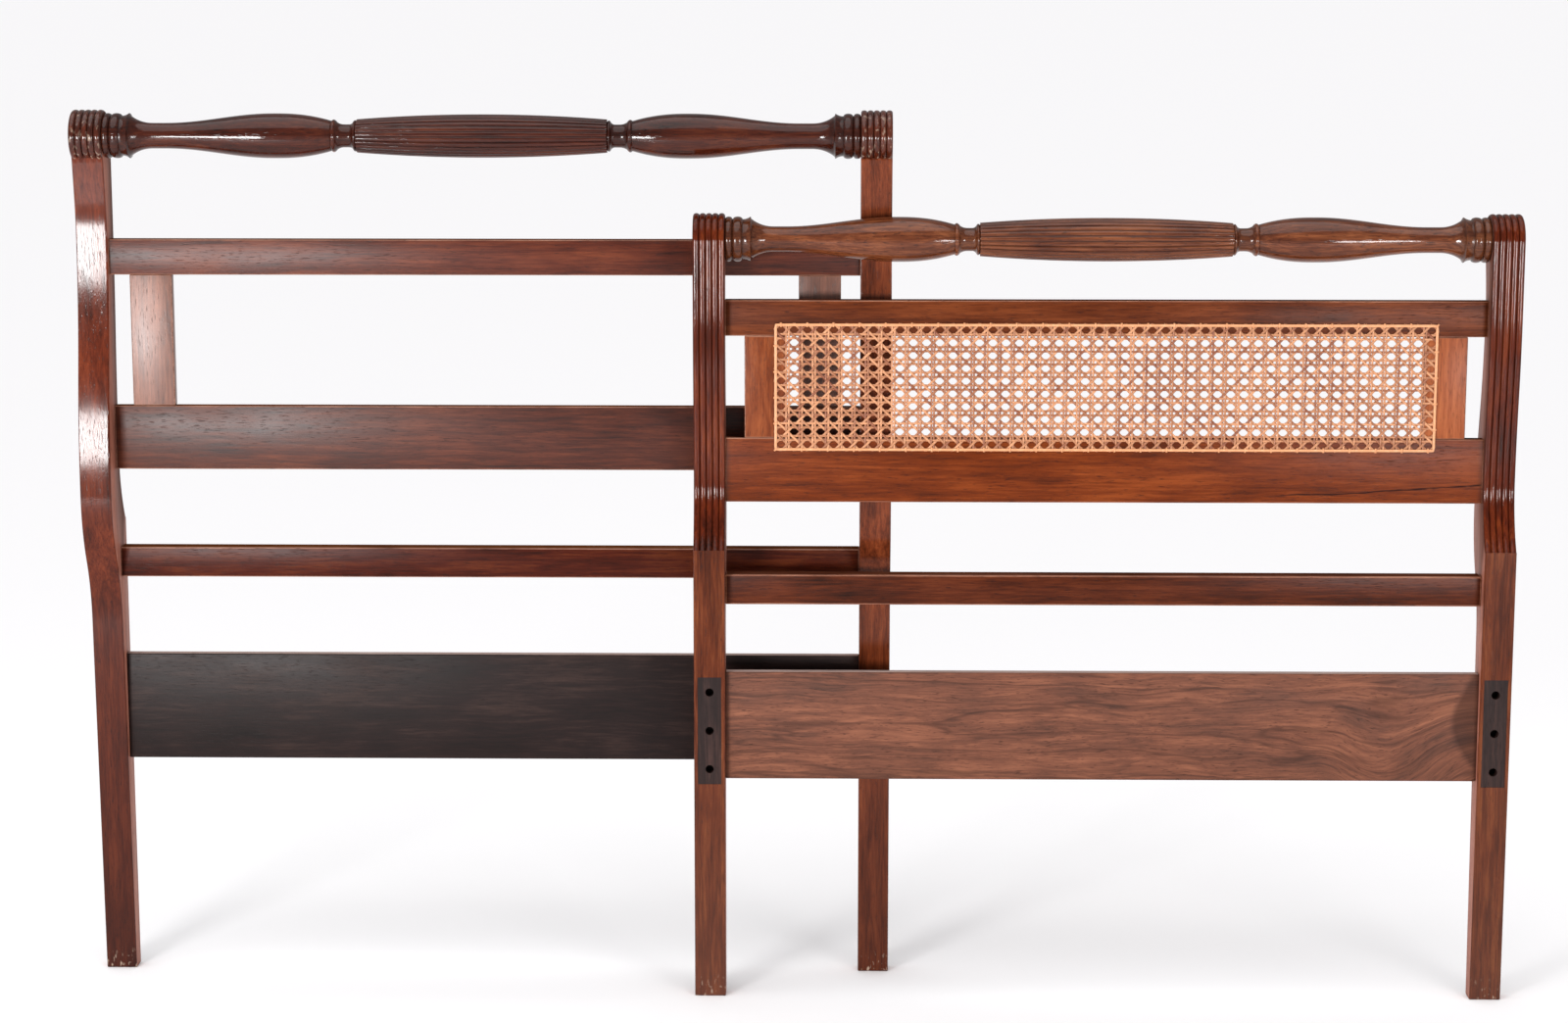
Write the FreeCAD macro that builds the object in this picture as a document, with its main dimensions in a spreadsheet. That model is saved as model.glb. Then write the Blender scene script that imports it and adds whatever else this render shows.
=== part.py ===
"""Head and foot end of a single bed in the Regency manner: scrolled and reeded posts, a turned
and reeded crest rail, and a caned panel between two rails. The ends are knocked down for moving:
the foot end stands in front of the head end, and its mattress side is turned to the viewer.

Both ends are drawn in one local frame, in millimetres: X across the bed with 0 in the middle,
Y outwards from the legs' mattress face, Z up from the floor. The head end is then turned half round.
"""
import FreeCAD, Part
import math
import os
import Sketcher

DIMENSIONS = {
    # How the two ends stand to each other
    "ends_apart_x": 732.0,      # from the head end's middle to the foot end's middle
    "ends_apart_y": 124.0,      # between the two mattress faces, which look away from each other
    # Posts
    "end_width": 965.0,
    "head_height": 1056.0,
    "foot_height": 938.0,
    "post_width": 37.0,
    "foot_depth": 24.0,         # the leg's depth at the floor
    "leg_depth": 38.0,          # and at the top of its straight taper
    "taper_top": 460.0,
    "head_knee": 562.0,         # where the reeding stops on a plain, square leg
    "foot_knee": 545.0,
    "bow_rise": 78.0,           # from the knee up to the bow's fullest point
    "bow_face": 24.0,           # mattress face there
    "bow_back": 66.0,           # outside face there
    "neck_back": 47.0,          # outside face below the scroll
    "neck_drop": 88.0,          # from the scroll's axis down to the straight neck's lower end
    "scroll_radius": 31.0,
    "scroll_axis": 45.0,
    "scroll_cove": 9.0,         # hollow under the scroll
    "foot_round": 2.5,          # worn edges of the feet
    # Reeding of the posts
    "groove_width": 4.8,
    "groove_depth": 1.9,
    # Seat of the side rail's iron on the leg, and its three bolt holes
    "seat_width": 28.0,
    "seat_height": 130.0,
    "seat_bottom": 262.0,
    "seat_depth": 0.6,
    "bolt_hole_diameter": 10.0,
    "bolt_hole_depth": 22.0,
    "bolt_hole_pitch": 46.7,
    # Rails: the mattress face's place, the thickness and the height of each
    "bottom_face": 9.0,
    "bottom_thickness": 14.0,
    "bottom_rail_height": 130.0,
    "bottom_rail_foot": 267.0,  # underside above the floor
    "middle_face": 14.0,
    "middle_thickness": 23.0,
    "middle_rail_height": 36.0,
    "head_middle_foot": 495.0,
    "foot_middle_foot": 477.5,
    "frame_face": 29.0,         # the caned frame's members share this mattress face
    "panel_thickness": 15.0,
    "panel_rail_height": 76.5,
    "head_panel_foot": 627.5,
    "foot_panel_foot": 598.0,
    "upper_thickness": 17.0,
    "upper_rail_height": 42.0,
    "head_upper_foot": 861.0,
    "foot_upper_foot": 795.0,
    "stile_thickness": 13.0,
    "stile_width": 50.0,
    "stile_gap": 23.0,          # daylight between post and stile
    # Joints
    "tenon_length": 24.0,
    "bottom_tenon_length": 12.0,    # short of the bolt holes
    "stile_tenon_length": 20.0,
    "tenon_shoulder": 2.5,      # step from a rail's faces to its tenon
    "tenon_edge": 6.0,          # step from its top and bottom
    "spigot_diameter": 24.0,
    "spigot_length": 22.0,
    "fit_gap": 0.15,            # slack round tenons and spigots
    "end_gap": 0.5,             # room past their ends
    # Turned crest rail, measured from the post along the axis; radii from the axis
    "collar_radius": 26.5,
    "collar_valley": 23.6,
    "small_bead": 9.0,
    "large_bead": 12.0,
    "flare_length": 9.0,
    "neck_radius": 15.0,
    "hollow_length": 28.0,
    "neck_end": 72.0,
    "vase_radius": 26.3,
    "vase_peak": 200.0,
    "vase_end": 268.0,
    "vase_end_radius": 17.8,
    "ring_radius": 19.0,
    "ring_length": 6.0,
    "spool_radius": 13.6,
    "spool_length": 18.0,
    "barrel_end_radius": 19.6,
    "barrel_radius": 25.4,
    "barrel_end": 298.0,
    "barrel_reeds": 24,
    "barrel_groove_depth": 1.1,
    "barrel_groove_width": 2.6,
    # Caning of the foot end's panel
    "cane_overlap": 15.0,       # how far the weave runs on to the frame
    "cane_thickness": 1.4,
    "cane_columns": 25,
    "cane_rows": 10,
    "cane_strand": 5.0,         # width of the woven bars between the openings
    "binding_width": 5.0,
    "binding_thickness": 1.2,
}


class Size:
    """A length and the expression that ties it to the spreadsheet."""

    def __init__(self, value, text):
        self.value = float(value)
        self.text = text

    @staticmethod
    def of(other):
        return other if isinstance(other, Size) else Size(other, repr(float(other)))

    def join(self, sign, other, value):
        return Size(value, "(%s %s %s)" % (self.text, sign, other.text))

    def __add__(self, other):
        other = Size.of(other)
        return self.join("+", other, self.value + other.value)

    def __sub__(self, other):
        other = Size.of(other)
        return self.join("-", other, self.value - other.value)

    def __mul__(self, other):
        other = Size.of(other)
        return self.join("*", other, self.value * other.value)

    def __truediv__(self, other):
        other = Size.of(other)
        return self.join("/", other, self.value / other.value)

    def __neg__(self):
        return Size(0.0, "0") - self

    def root(self):
        return Size(math.sqrt(self.value), "sqrt(%s)" % self.text)


class Sizes:
    """The spreadsheet's cells by their aliases."""

    def __init__(self, doc, dimensions):
        self.sheet = doc.addObject("Spreadsheet::Sheet", "Sizes")
        for row, (alias, value) in enumerate(dimensions.items(), start=1):
            self.sheet.set("A%d" % row, alias)
            self.sheet.set("B%d" % row, str(value))
            self.sheet.setAlias("B%d" % row, alias)
        doc.recompute()

    def __getattr__(self, alias):
        return Size(self.sheet.get(alias), "Sizes." + alias)


doc = FreeCAD.newDocument("BedEnds")
S = Sizes(doc, DIMENSIONS)
ZERO = Size(0.0, "0")
nodes = []


def bind(item, path, size):
    """Ties one property of a document object to the spreadsheet."""
    item.setExpression(path, size.text)


def new_body(label, end):
    """An empty body that stands where its end of the bed stands."""
    body = doc.addObject("PartDesign::Body", label)
    body.Label = label
    place(body, end)
    nodes.append(body)
    return body


def place(item, end, y=ZERO, z=ZERO):
    """Puts a piece, drawn in the local frame, at its end of the bed."""
    turn = FreeCAD.Rotation(FreeCAD.Vector(0, 0, 1), end.turn)
    x = S.ends_apart_x / 2 * end.across
    y = S.ends_apart_y / 2 * -end.outward + y * end.outward
    item.Placement = FreeCAD.Placement(FreeCAD.Vector(x.value, y.value, z.value), turn)
    for axis, size in (("x", x), ("y", y), ("z", z)):
        bind(item, "Placement.Base." + axis, size)


def plane_of(body, role):
    return next(f for f in body.Origin.OriginFeatures if f.Role == role)


def arc_between(start, end, radius, turn):
    """Circle arc from start to end: turn 1 runs anticlockwise, -1 clockwise, and 2 and -2 take
    the long way round."""
    chord = end - start
    half = chord.Length / 2
    rise = math.sqrt(max(radius * radius - half * half, 0.0))
    side = 1 if turn in (1, -2) else -1
    normal = FreeCAD.Vector(-chord.y, chord.x, 0).normalize()
    centre = (start + end) * 0.5 + normal * (rise * side)
    first, last = (start, end) if turn > 0 else (end, start)
    angles = [math.atan2((p - centre).y, (p - centre).x) for p in (first, last)]
    if angles[1] <= angles[0]:
        angles[1] += 2 * math.pi
    return Part.ArcOfCircle(Part.Circle(centre, FreeCAD.Vector(0, 0, 1), radius), angles[0], angles[1])


def draw(body, name, role, steps, offset=ZERO, closed=True):
    """A sketch through the points of steps: (x, y) for a straight run to the next point and
    (x, y, radius, turn) for an arc to it. Every point and radius is bound to the spreadsheet."""
    sketch = body.newObject("Sketcher::SketchObject", name)
    sketch.AttachmentSupport = [(plane_of(body, role), "")]
    sketch.MapMode = "FlatFace"
    bind(sketch, "AttachmentOffset.Base.z", offset)
    points = [FreeCAD.Vector(step[0].value, step[1].value, 0) for step in steps]
    runs = len(steps) if closed else len(steps) - 1
    starts, ends = [], []
    for i in range(runs):
        a, b = points[i], points[(i + 1) % len(points)]
        if len(steps[i]) == 2:
            sketch.addGeometry(Part.LineSegment(a, b), False)
            forward = True
        else:
            sketch.addGeometry(arc_between(a, b, steps[i][2].value, steps[i][3]), False)
            forward = steps[i][3] > 0
        starts.append(1 if forward else 2)
        ends.append(2 if forward else 1)
    for i in range(runs if closed else runs - 1):
        after = (i + 1) % runs
        sketch.addConstraint(Sketcher.Constraint("Coincident", i, ends[i], after, starts[after]))
    corners = [(i, starts[i], steps[i]) for i in range(runs)]
    if not closed:
        corners.append((runs - 1, ends[-1], steps[-1]))
    for i, (geometry, vertex, step) in enumerate(corners):
        for kind, size in (("DistanceX", step[0]), ("DistanceY", step[1])):
            at = sketch.addConstraint(Sketcher.Constraint(kind, -1, 1, geometry, vertex, size.value))
            sketch.renameConstraint(at, "%s%d" % (kind[-1].lower(), i))
            bind(sketch, "Constraints.%s%d" % (kind[-1].lower(), i), size)
    for i in range(runs):
        if len(steps[i]) == 4:
            at = sketch.addConstraint(Sketcher.Constraint("Radius", i, steps[i][2].value))
            sketch.renameConstraint(at, "r%d" % i)
            bind(sketch, "Constraints.r%d" % i, steps[i][2])
    return sketch


def circles(body, name, role, centres, diameter, offset=ZERO):
    """A sketch of equal circles."""
    sketch = body.newObject("Sketcher::SketchObject", name)
    sketch.AttachmentSupport = [(plane_of(body, role), "")]
    sketch.MapMode = "FlatFace"
    bind(sketch, "AttachmentOffset.Base.z", offset)
    for i, (x, y) in enumerate(centres):
        middle = FreeCAD.Vector(x.value, y.value, 0)
        sketch.addGeometry(Part.Circle(middle, FreeCAD.Vector(0, 0, 1), diameter.value / 2), False)
        for kind, size in (("DistanceX", x), ("DistanceY", y)):
            at = sketch.addConstraint(Sketcher.Constraint(kind, -1, 1, i, 3, size.value))
            sketch.renameConstraint(at, "%s%d" % (kind[-1].lower(), i))
            bind(sketch, "Constraints.%s%d" % (kind[-1].lower(), i), size)
        at = sketch.addConstraint(Sketcher.Constraint("Diameter", i, diameter.value))
        sketch.renameConstraint(at, "d%d" % i)
        bind(sketch, "Constraints.d%d" % i, diameter)
    return sketch


def box(low, high):
    """The four corners of a rectangle for draw()."""
    return [(low[0], low[1]), (high[0], low[1]), (high[0], high[1]), (low[0], high[1])]


def grow(body, kind, name, sketch, length, reversed_=False):
    """A Pad or Pocket of the sketch; a pocket that takes nothing away is an error."""
    before = body.Shape.Volume if body.Tip else 0.0
    feature = body.newObject("PartDesign::" + kind, name)
    feature.Profile = sketch
    feature.Length = length.value
    bind(feature, "Length", length)
    feature.Reversed = reversed_
    doc.recompute()
    change = body.Shape.Volume - before
    if (change <= 0) if kind == "Pad" else (change >= 0):
        raise RuntimeError("%s of %s changed the volume by %.3f" % (name, body.Label, change))
    return feature


class End:
    """One end of the bed: where it stands and the heights in which it differs from the other."""

    def __init__(self, name, across, outward):
        self.name = name
        self.across = across            # -1 stands at the left, +1 at the right
        self.outward = outward          # its outside looks to -Y or to +Y
        self.turn = 0 if outward > 0 else 180
        self.knee = getattr(S, name + "_knee")
        self.axis_height = getattr(S, name + "_height") - S.scroll_radius
        self.rails = {
            "bottom": (S.bottom_face, S.bottom_thickness, S.bottom_rail_foot, S.bottom_rail_height),
            "middle": (S.middle_face, S.middle_thickness,
                       getattr(S, name + "_middle_foot"), S.middle_rail_height),
            "panel": (S.frame_face, S.panel_thickness,
                      getattr(S, name + "_panel_foot"), S.panel_rail_height),
            "upper": (S.frame_face, S.upper_thickness,
                      getattr(S, name + "_upper_foot"), S.upper_rail_height),
        }

    def label(self, piece):
        return "%s_%s" % (self.name, piece)

    def sided(self, side):
        """The name of a side as it is seen from the front, and its sign in the local frame."""
        return {"left": -1, "right": 1}[side] * self.outward

    def tenon(self, rail):
        """Low and high corner of a rail's tenon, seen along X."""
        face, thickness, foot, height = self.rails[rail]
        return ((face + S.tenon_shoulder, foot + S.tenon_edge),
                (face + thickness - S.tenon_shoulder, foot + height - S.tenon_edge))

    def tenon_length(self, rail):
        return S.bottom_tenon_length if rail == "bottom" else S.tenon_length


ends = [End("head", -1, -1), End("foot", 1, 1)]
clear_width = S.end_width - S.post_width * 2


# Posts. Each is sawn to a bowed outline, tapers below the knee and ends in a scroll at the top.
# Five reeds follow its mattress face from the knee up and over the scroll.

def ogee_radius(height, depth):
    """Radius of two equal arcs that shift an upright line sideways by depth over a height."""
    return (height * height + depth * depth) / (depth * 4)


def face_path(end):
    """The mattress face from the knee to the hollow under the scroll, as steps for draw()."""
    axis = end.axis_height
    bow = end.knee + S.bow_rise
    top_face = S.scroll_axis - S.scroll_radius
    neck = axis - S.neck_drop
    swing = (S.bow_rise * S.bow_rise + S.bow_face * S.bow_face) / (S.bow_face * 2)
    ogee = ogee_radius(neck - bow, S.bow_face - top_face)
    cove_y = S.neck_back + S.scroll_cove - S.scroll_axis
    cove_reach = S.scroll_radius + S.scroll_cove
    cove_drop = (cove_reach * cove_reach - cove_y * cove_y).root()
    share = S.scroll_radius / cove_reach
    return [
        (ZERO, end.knee, swing, 1),
        (S.bow_face, bow, ogee, 1),
        ((S.bow_face + top_face) / 2, (bow + neck) / 2, ogee, -1),
        (top_face, neck),
        (top_face, axis, S.scroll_radius, -2),
        (S.scroll_axis + cove_y * share, axis - cove_drop * share),
    ], axis - cove_drop


def make_post(end, side):
    sign = end.sided(side)
    body = new_body(end.label(side + "_post"), end)
    near = (S.end_width / 2 - S.post_width) if sign > 0 else -(S.end_width / 2)
    inner = (S.end_width / 2 - S.post_width) * sign

    path, cove_foot = face_path(end)
    bow = end.knee + S.bow_rise
    neck = end.axis_height - S.neck_drop
    back = ogee_radius(neck - bow, S.bow_back - S.neck_back)
    calf = ogee_radius(bow - S.taper_top, S.bow_back - S.leg_depth)
    scroll_end = path[-1]
    steps = [(ZERO, ZERO)] + path[:-1] + [
        (scroll_end[0], scroll_end[1], S.scroll_cove, 1),
        (S.neck_back, cove_foot),
        (S.neck_back, neck, back, 1),
        ((S.neck_back + S.bow_back) / 2, (neck + bow) / 2, back, -1),
        (S.bow_back, bow, calf, -1),
        ((S.bow_back + S.leg_depth) / 2, (bow + S.taper_top) / 2, calf, 1),
        (S.leg_depth, S.taper_top),
        (S.foot_depth, ZERO),
    ]
    outline = draw(body, "Outline", "YZ_Plane", steps, near)
    grow(body, "Pad", "Blank", outline, S.post_width)

    # Reeding: one groove swept along the face, then repeated across the post
    pitch = S.post_width / 5
    first = near + pitch
    spine = draw(body, "ReedPath", "YZ_Plane", path, first, closed=False)
    half = S.groove_width / 2
    profile = draw(body, "ReedGroove", "XY_Plane", [
        (first - half, -S.groove_depth * 0.3), (first, S.groove_depth),
        (first + half, -S.groove_depth * 0.3)], end.knee)
    groove = body.newObject("PartDesign::SubtractivePipe", "Reed")
    groove.Profile = profile
    groove.Spine = (spine, ["Edge%d" % (i + 1) for i in range(len(path) - 1)])
    doc.recompute()
    reeds = body.newObject("PartDesign::LinearPattern", "Reeds")
    reeds.Originals = [groove]
    reeds.Direction = (plane_of(body, "X_Axis"), [""])
    reeds.Occurrences = 4
    reeds.Length = (pitch * 3).value
    bind(reeds, "Length", pitch * 3)
    body.Tip = reeds
    doc.recompute()

    # Mortises for the rails and the socket of the crest rail, in the inner face
    gap = S.fit_gap
    for rail in end.rails:
        low, high = end.tenon(rail)
        mortise = draw(body, rail.capitalize() + "Mortise", "YZ_Plane",
                       box((low[0] - gap, low[1] - gap), (high[0] + gap, high[1] + gap)), inner)
        grow(body, "Pocket", rail.capitalize() + "Mortised", mortise,
             end.tenon_length(rail) + S.end_gap, sign > 0)
    socket = circles(body, "Socket", "YZ_Plane", [(S.scroll_axis, end.axis_height)],
                     S.spigot_diameter + gap * 2, inner)
    grow(body, "Pocket", "Socketed", socket, S.spigot_length + S.end_gap, sign > 0)

    # Seat of the side rail's iron in the mattress face, with its bolt holes
    middle = near + S.post_width / 2
    wide = S.seat_width / 2
    seat = draw(body, "RailSeat", "XZ_Plane", box(
        (middle - wide, S.seat_bottom), (middle + wide, S.seat_bottom + S.seat_height)))
    grow(body, "Pocket", "RailSeated", seat, S.seat_depth, False)
    bolt = S.seat_bottom + S.seat_height / 2
    holes = circles(body, "BoltHoles", "XZ_Plane",
                    [(middle, bolt + S.bolt_hole_pitch * i) for i in (-1, 0, 1)], S.bolt_hole_diameter)
    grow(body, "Pocket", "BoltHoled", holes, S.bolt_hole_depth, False)

    round_foot(body)
    return body


def round_foot(body):
    """Rounds the edges that the leg stands on."""
    leg = body.Tip
    names = ["Edge%d" % (i + 1) for i, edge in enumerate(leg.Shape.Edges)
             if edge.BoundBox.ZMax < 0.01]
    fillet = body.newObject("PartDesign::Fillet", "WornFoot")
    fillet.Base = (leg, names)
    fillet.Radius = S.foot_round.value
    bind(fillet, "Radius", S.foot_round)
    doc.recompute()


# Rails. Boards with a tenon at each end; the upper and the panel rail also take the stiles.

def make_rail(end, rail):
    body = new_body(end.label(rail + "_rail"), end)
    face, thickness, foot, height = end.rails[rail]
    board = draw(body, "Board", "YZ_Plane", box((face, foot), (face + thickness, foot + height)),
                 -(clear_width / 2))
    grow(body, "Pad", "Rail", board, clear_width)
    length = end.tenon_length(rail)
    low, high = end.tenon(rail)
    tenon = draw(body, "Tenon", "YZ_Plane", box(low, high), -(clear_width / 2) - length)
    grow(body, "Pad", "Tenons", tenon, clear_width + length * 2)
    if rail in ("upper", "panel"):
        depth = S.stile_tenon_length + S.end_gap
        edge = foot if rail == "upper" else foot + height
        for sign in (-1, 1):
            low, high = stile_tenon(sign)
            gap = S.fit_gap
            mortise = draw(body, "StileMortise", "XY_Plane",
                           box((low[0] - gap, low[1] - gap), (high[0] + gap, high[1] + gap)), edge)
            grow(body, "Pocket", "StileMortised", mortise, depth, rail == "upper")
    return body


# Stiles. Short uprights of the caned frame, tenoned into the upper and the panel rail.

def stile_span(sign):
    outer = clear_width / 2 - S.stile_gap
    return (outer - S.stile_width, outer) if sign > 0 else (-outer, -(outer - S.stile_width))


def stile_tenon(sign):
    """Low and high corner of a stile's tenon, seen from above."""
    low, high = stile_span(sign)
    return ((low + S.tenon_edge, S.frame_face + S.tenon_shoulder),
            (high - S.tenon_edge, S.frame_face + S.stile_thickness - S.tenon_shoulder))


def make_stile(end, side):
    sign = end.sided(side)
    body = new_body(end.label(side + "_stile"), end)
    low, high = stile_span(sign)
    bottom = end.rails["panel"][2] + end.rails["panel"][3]
    top = end.rails["upper"][2]
    board = draw(body, "Board", "XY_Plane",
                 box((low, S.frame_face), (high, S.frame_face + S.stile_thickness)), bottom)
    grow(body, "Pad", "Stile", board, top - bottom)
    low, high = stile_tenon(sign)
    tenon = draw(body, "Tenon", "XY_Plane", box(low, high), bottom - S.stile_tenon_length)
    grow(body, "Pad", "Tenons", tenon, top - bottom + S.stile_tenon_length * 2)
    return body


# Crest rails. Turned between centres: beaded collars at the posts, long vases, and a reeded barrel
# between two spools. Spigots at the ends sit in sockets in the posts' scrolls.

def make_crest(end):
    body = doc.addObject("PartDesign::Body", end.label("crest_rail"))
    body.Label = end.label("crest_rail")
    place(body, end, S.scroll_axis, end.axis_height)
    nodes.append(body)

    start = clear_width / 2
    beads = S.small_bead + S.large_bead
    lip = beads + S.flare_length
    ring = S.vase_end + S.ring_length
    spool_end = ring + S.spool_length
    small = arc_over(S.small_bead, S.collar_radius - S.collar_valley - 0.8)
    large = arc_over(S.large_bead, S.collar_radius - S.collar_valley)
    vase = ogee_radius(S.vase_peak - S.neck_end, S.vase_radius - S.neck_radius)
    fall = S.vase_radius - S.vase_end_radius
    shoulder = ((S.vase_end - S.vase_peak) * (S.vase_end - S.vase_peak) + fall * fall) / (fall * 2)
    drop = S.collar_radius - S.neck_radius
    hollow = (S.hollow_length * S.hollow_length + drop * drop) / (drop * 2)
    waist = arc_over(S.spool_length, S.vase_end_radius - S.spool_radius - 1.4)
    crown = arc_over(clear_width - S.barrel_end * 2, S.barrel_radius - S.barrel_end_radius)
    half = [
        (S.spigot_length * -1, ZERO),
        (S.spigot_length * -1, S.spigot_diameter / 2),
        (ZERO, S.spigot_diameter / 2),
        (ZERO, S.collar_valley, small, -1),
        (S.small_bead, S.collar_valley, large, -1),
        (beads, S.collar_valley),
        (lip, S.collar_radius, hollow, 1),
        (lip + S.hollow_length, S.neck_radius),
        (S.neck_end, S.neck_radius, vase, 1),
        ((S.neck_end + S.vase_peak) / 2, (S.neck_radius + S.vase_radius) / 2, vase, -1),
        (S.vase_peak, S.vase_radius, shoulder, -1),
        (S.vase_end, S.vase_end_radius),
        (S.vase_end, S.ring_radius),
        (ring, S.ring_radius),
        (ring, S.vase_end_radius - 1.4, waist, 1),
        (spool_end, S.vase_end_radius - 1.4),
        (spool_end, S.barrel_end_radius),
        (S.barrel_end, S.barrel_end_radius),
    ]
    left = [(step[0] - start, step[1]) + tuple(step[2:]) for step in half]
    right = []
    for i in range(len(half) - 1, -1, -1):
        x, radius = start - half[i][0], half[i][1]
        before = half[i - 1] if i else ()
        right.append((x, radius) + tuple(before[2:]))
    left[-1] = left[-1] + (crown, -1)
    outline = draw(body, "Turning", "XY_Plane", left + right)
    turned = body.newObject("PartDesign::Revolution", "Turned")
    turned.Profile = outline
    turned.ReferenceAxis = (plane_of(body, "X_Axis"), [""])
    turned.Angle = 360.0
    doc.recompute()

    # Reeds of the barrel: one groove along its swell, repeated round the axis
    barrel = [(S.barrel_end - start, S.barrel_end_radius, crown, -1),
              (start - S.barrel_end, S.barrel_end_radius)]
    spine = draw(body, "BarrelPath", "XY_Plane", barrel, closed=False)
    wide = S.barrel_groove_width / 2
    cut = S.barrel_groove_depth
    profile = draw(body, "BarrelGroove", "YZ_Plane", [
        (S.barrel_end_radius + cut * 0.4, -wide), (S.barrel_end_radius + cut * 0.4, wide),
        (S.barrel_end_radius - cut, ZERO)], S.barrel_end - start)
    groove = body.newObject("PartDesign::SubtractivePipe", "BarrelReed")
    groove.Profile = profile
    groove.Spine = (spine, ["Edge1"])
    doc.recompute()
    reeds = body.newObject("PartDesign::PolarPattern", "BarrelReeds")
    reeds.Originals = [groove]
    reeds.Axis = (plane_of(body, "X_Axis"), [""])
    reeds.Angle = 360.0
    reeds.Occurrences = int(S.barrel_reeds.value)
    bind(reeds, "Occurrences", S.barrel_reeds)
    body.Tip = reeds
    doc.recompute()
    return body


def arc_over(chord, rise):
    """Radius of an arc over a chord that rises by rise at its middle."""
    return (chord * chord / 4 + rise * rise) / (rise * 2)


# Caning of the foot end: a woven panel on the frame's mattress face, and the binding strip that
# covers its edge. The weave is one sheet with its openings.

def cane_span(end):
    """Half the width and the two heights of the woven panel."""
    half = clear_width / 2 - S.stile_gap - S.stile_width + S.cane_overlap
    low = end.rails["panel"][2] + end.rails["panel"][3] - S.cane_overlap
    high = end.rails["upper"][2] + S.cane_overlap
    return half, low, high


def upright_rectangle(x0, x1, z0, z1, y):
    corners = [(x0, z0), (x1, z0), (x1, z1), (x0, z1), (x0, z0)]
    return Part.makePolygon([FreeCAD.Vector(x, y, z) for x, z in corners])


def make_cane(end):
    half, low, high = (size.value for size in cane_span(end))
    columns, rows = int(S.cane_columns.value), int(S.cane_rows.value)
    edge = S.binding_width.value
    strand = S.cane_strand.value
    step_x = (2 * (half - edge) - strand) / columns
    step_z = (high - low - 2 * edge - strand) / rows
    y = (S.frame_face - S.cane_thickness).value
    wires = [upright_rectangle(-half, half, low, high, y)]
    for column in range(columns):
        x = -half + edge + strand + column * step_x
        for row in range(rows):
            z = low + edge + strand + row * step_z
            wires.append(upright_rectangle(x, x + step_x - strand, z, z + step_z - strand, y))
    sheet = Part.makeFace(wires, "Part::FaceMakerBullseye")
    panel = doc.addObject("Part::Feature", end.label("cane_panel"))
    panel.Label = end.label("cane_panel")
    panel.Shape = sheet.extrude(FreeCAD.Vector(0, S.cane_thickness.value, 0))
    place(panel, end)
    nodes.append(panel)


def make_binding(end):
    body = new_body(end.label("cane_binding"), end)
    half, low, high = cane_span(end)
    back = S.frame_face - S.cane_thickness
    outer = draw(body, "Outer", "XZ_Plane", box((-half, low), (half, high)), -back)
    grow(body, "Pad", "Strip", outer, S.binding_thickness)
    wide = S.binding_width
    inner = draw(body, "Inner", "XZ_Plane",
                 box((-half + wide, low + wide), (half - wide, high - wide)), -back)
    grow(body, "Pocket", "Opening", inner, S.binding_thickness * 2, True)
    return body


for end in ends:
    for side in ("left", "right"):
        make_post(end, side)
    for rail in ("bottom", "middle", "panel", "upper"):
        make_rail(end, rail)
    for side in ("left", "right"):
        make_stile(end, side)
    make_crest(end)
make_cane(ends[1])
make_binding(ends[1])
doc.recompute()

failed = [item.Label for item in doc.Objects if {"Invalid", "Error"} & set(item.State)]
failed += [node.Label for node in nodes if node.Shape.isNull() or not node.Shape.isValid()]
if failed:
    raise RuntimeError("failed: " + ", ".join(failed))

os.makedirs("parts", exist_ok=True)
for node in nodes:
    node.Shape.exportStep("parts/%s.step" % node.Label)
    print("%-18s %8.1f cm3" % (node.Label, node.Shape.Volume / 1000))
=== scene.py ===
"""Head and foot end of a single bed in polished rosewood, knocked down and stood up in a pale studio."""
import math

import bmesh
import bpy
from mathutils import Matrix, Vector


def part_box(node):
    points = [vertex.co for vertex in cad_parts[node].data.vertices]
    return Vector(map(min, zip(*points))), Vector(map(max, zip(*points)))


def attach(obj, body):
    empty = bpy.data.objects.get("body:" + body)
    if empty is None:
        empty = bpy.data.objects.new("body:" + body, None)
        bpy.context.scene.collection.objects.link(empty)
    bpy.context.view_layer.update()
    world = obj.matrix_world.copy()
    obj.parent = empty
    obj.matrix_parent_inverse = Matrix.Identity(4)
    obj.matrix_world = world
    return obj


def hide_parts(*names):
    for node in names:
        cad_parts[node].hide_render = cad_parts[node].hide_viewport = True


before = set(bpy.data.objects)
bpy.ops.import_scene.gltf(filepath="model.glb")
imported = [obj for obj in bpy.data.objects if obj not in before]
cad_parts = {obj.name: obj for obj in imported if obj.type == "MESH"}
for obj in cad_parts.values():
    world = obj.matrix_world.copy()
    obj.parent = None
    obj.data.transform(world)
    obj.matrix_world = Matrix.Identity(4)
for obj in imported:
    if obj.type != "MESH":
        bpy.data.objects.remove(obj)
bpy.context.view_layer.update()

# Posts. Each is sawn from one rosewood plank to a bow, tapers below the knee and has a waist that sweeps
# into a scroll at the top. Five half-round reeds are planed into the mattress face and over the scroll.
# The legs have a shallow seat for the side rail's iron, stained black by it, with three bolt holes.
END_FACE = {"head": 0.062, "foot": -0.062}      # y of the mattress face: the two ends stand back to back
END_OUTWARD = {"head": -1, "foot": 1}
POST_KNEE = {"head": 562.0, "foot": 545.0}      # mm, as all sizes of the posts; depths are from that face
POST_BOW_RISE, POST_BOW_FACE, POST_NECK_DROP = 78.0, 24.0, 88.0     # mattress face
POST_FULL_RISE, POST_FULL, POST_WAIST, WAIST_SHARE = 37.0, 77.0, 51.0, 0.27     # outside
POST_TAPER_TOP, POST_LEG_DEPTH, POST_FOOT_DEPTH, FOOT_ROUND = 436.0, 38.0, 24.0, 2.5
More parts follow.
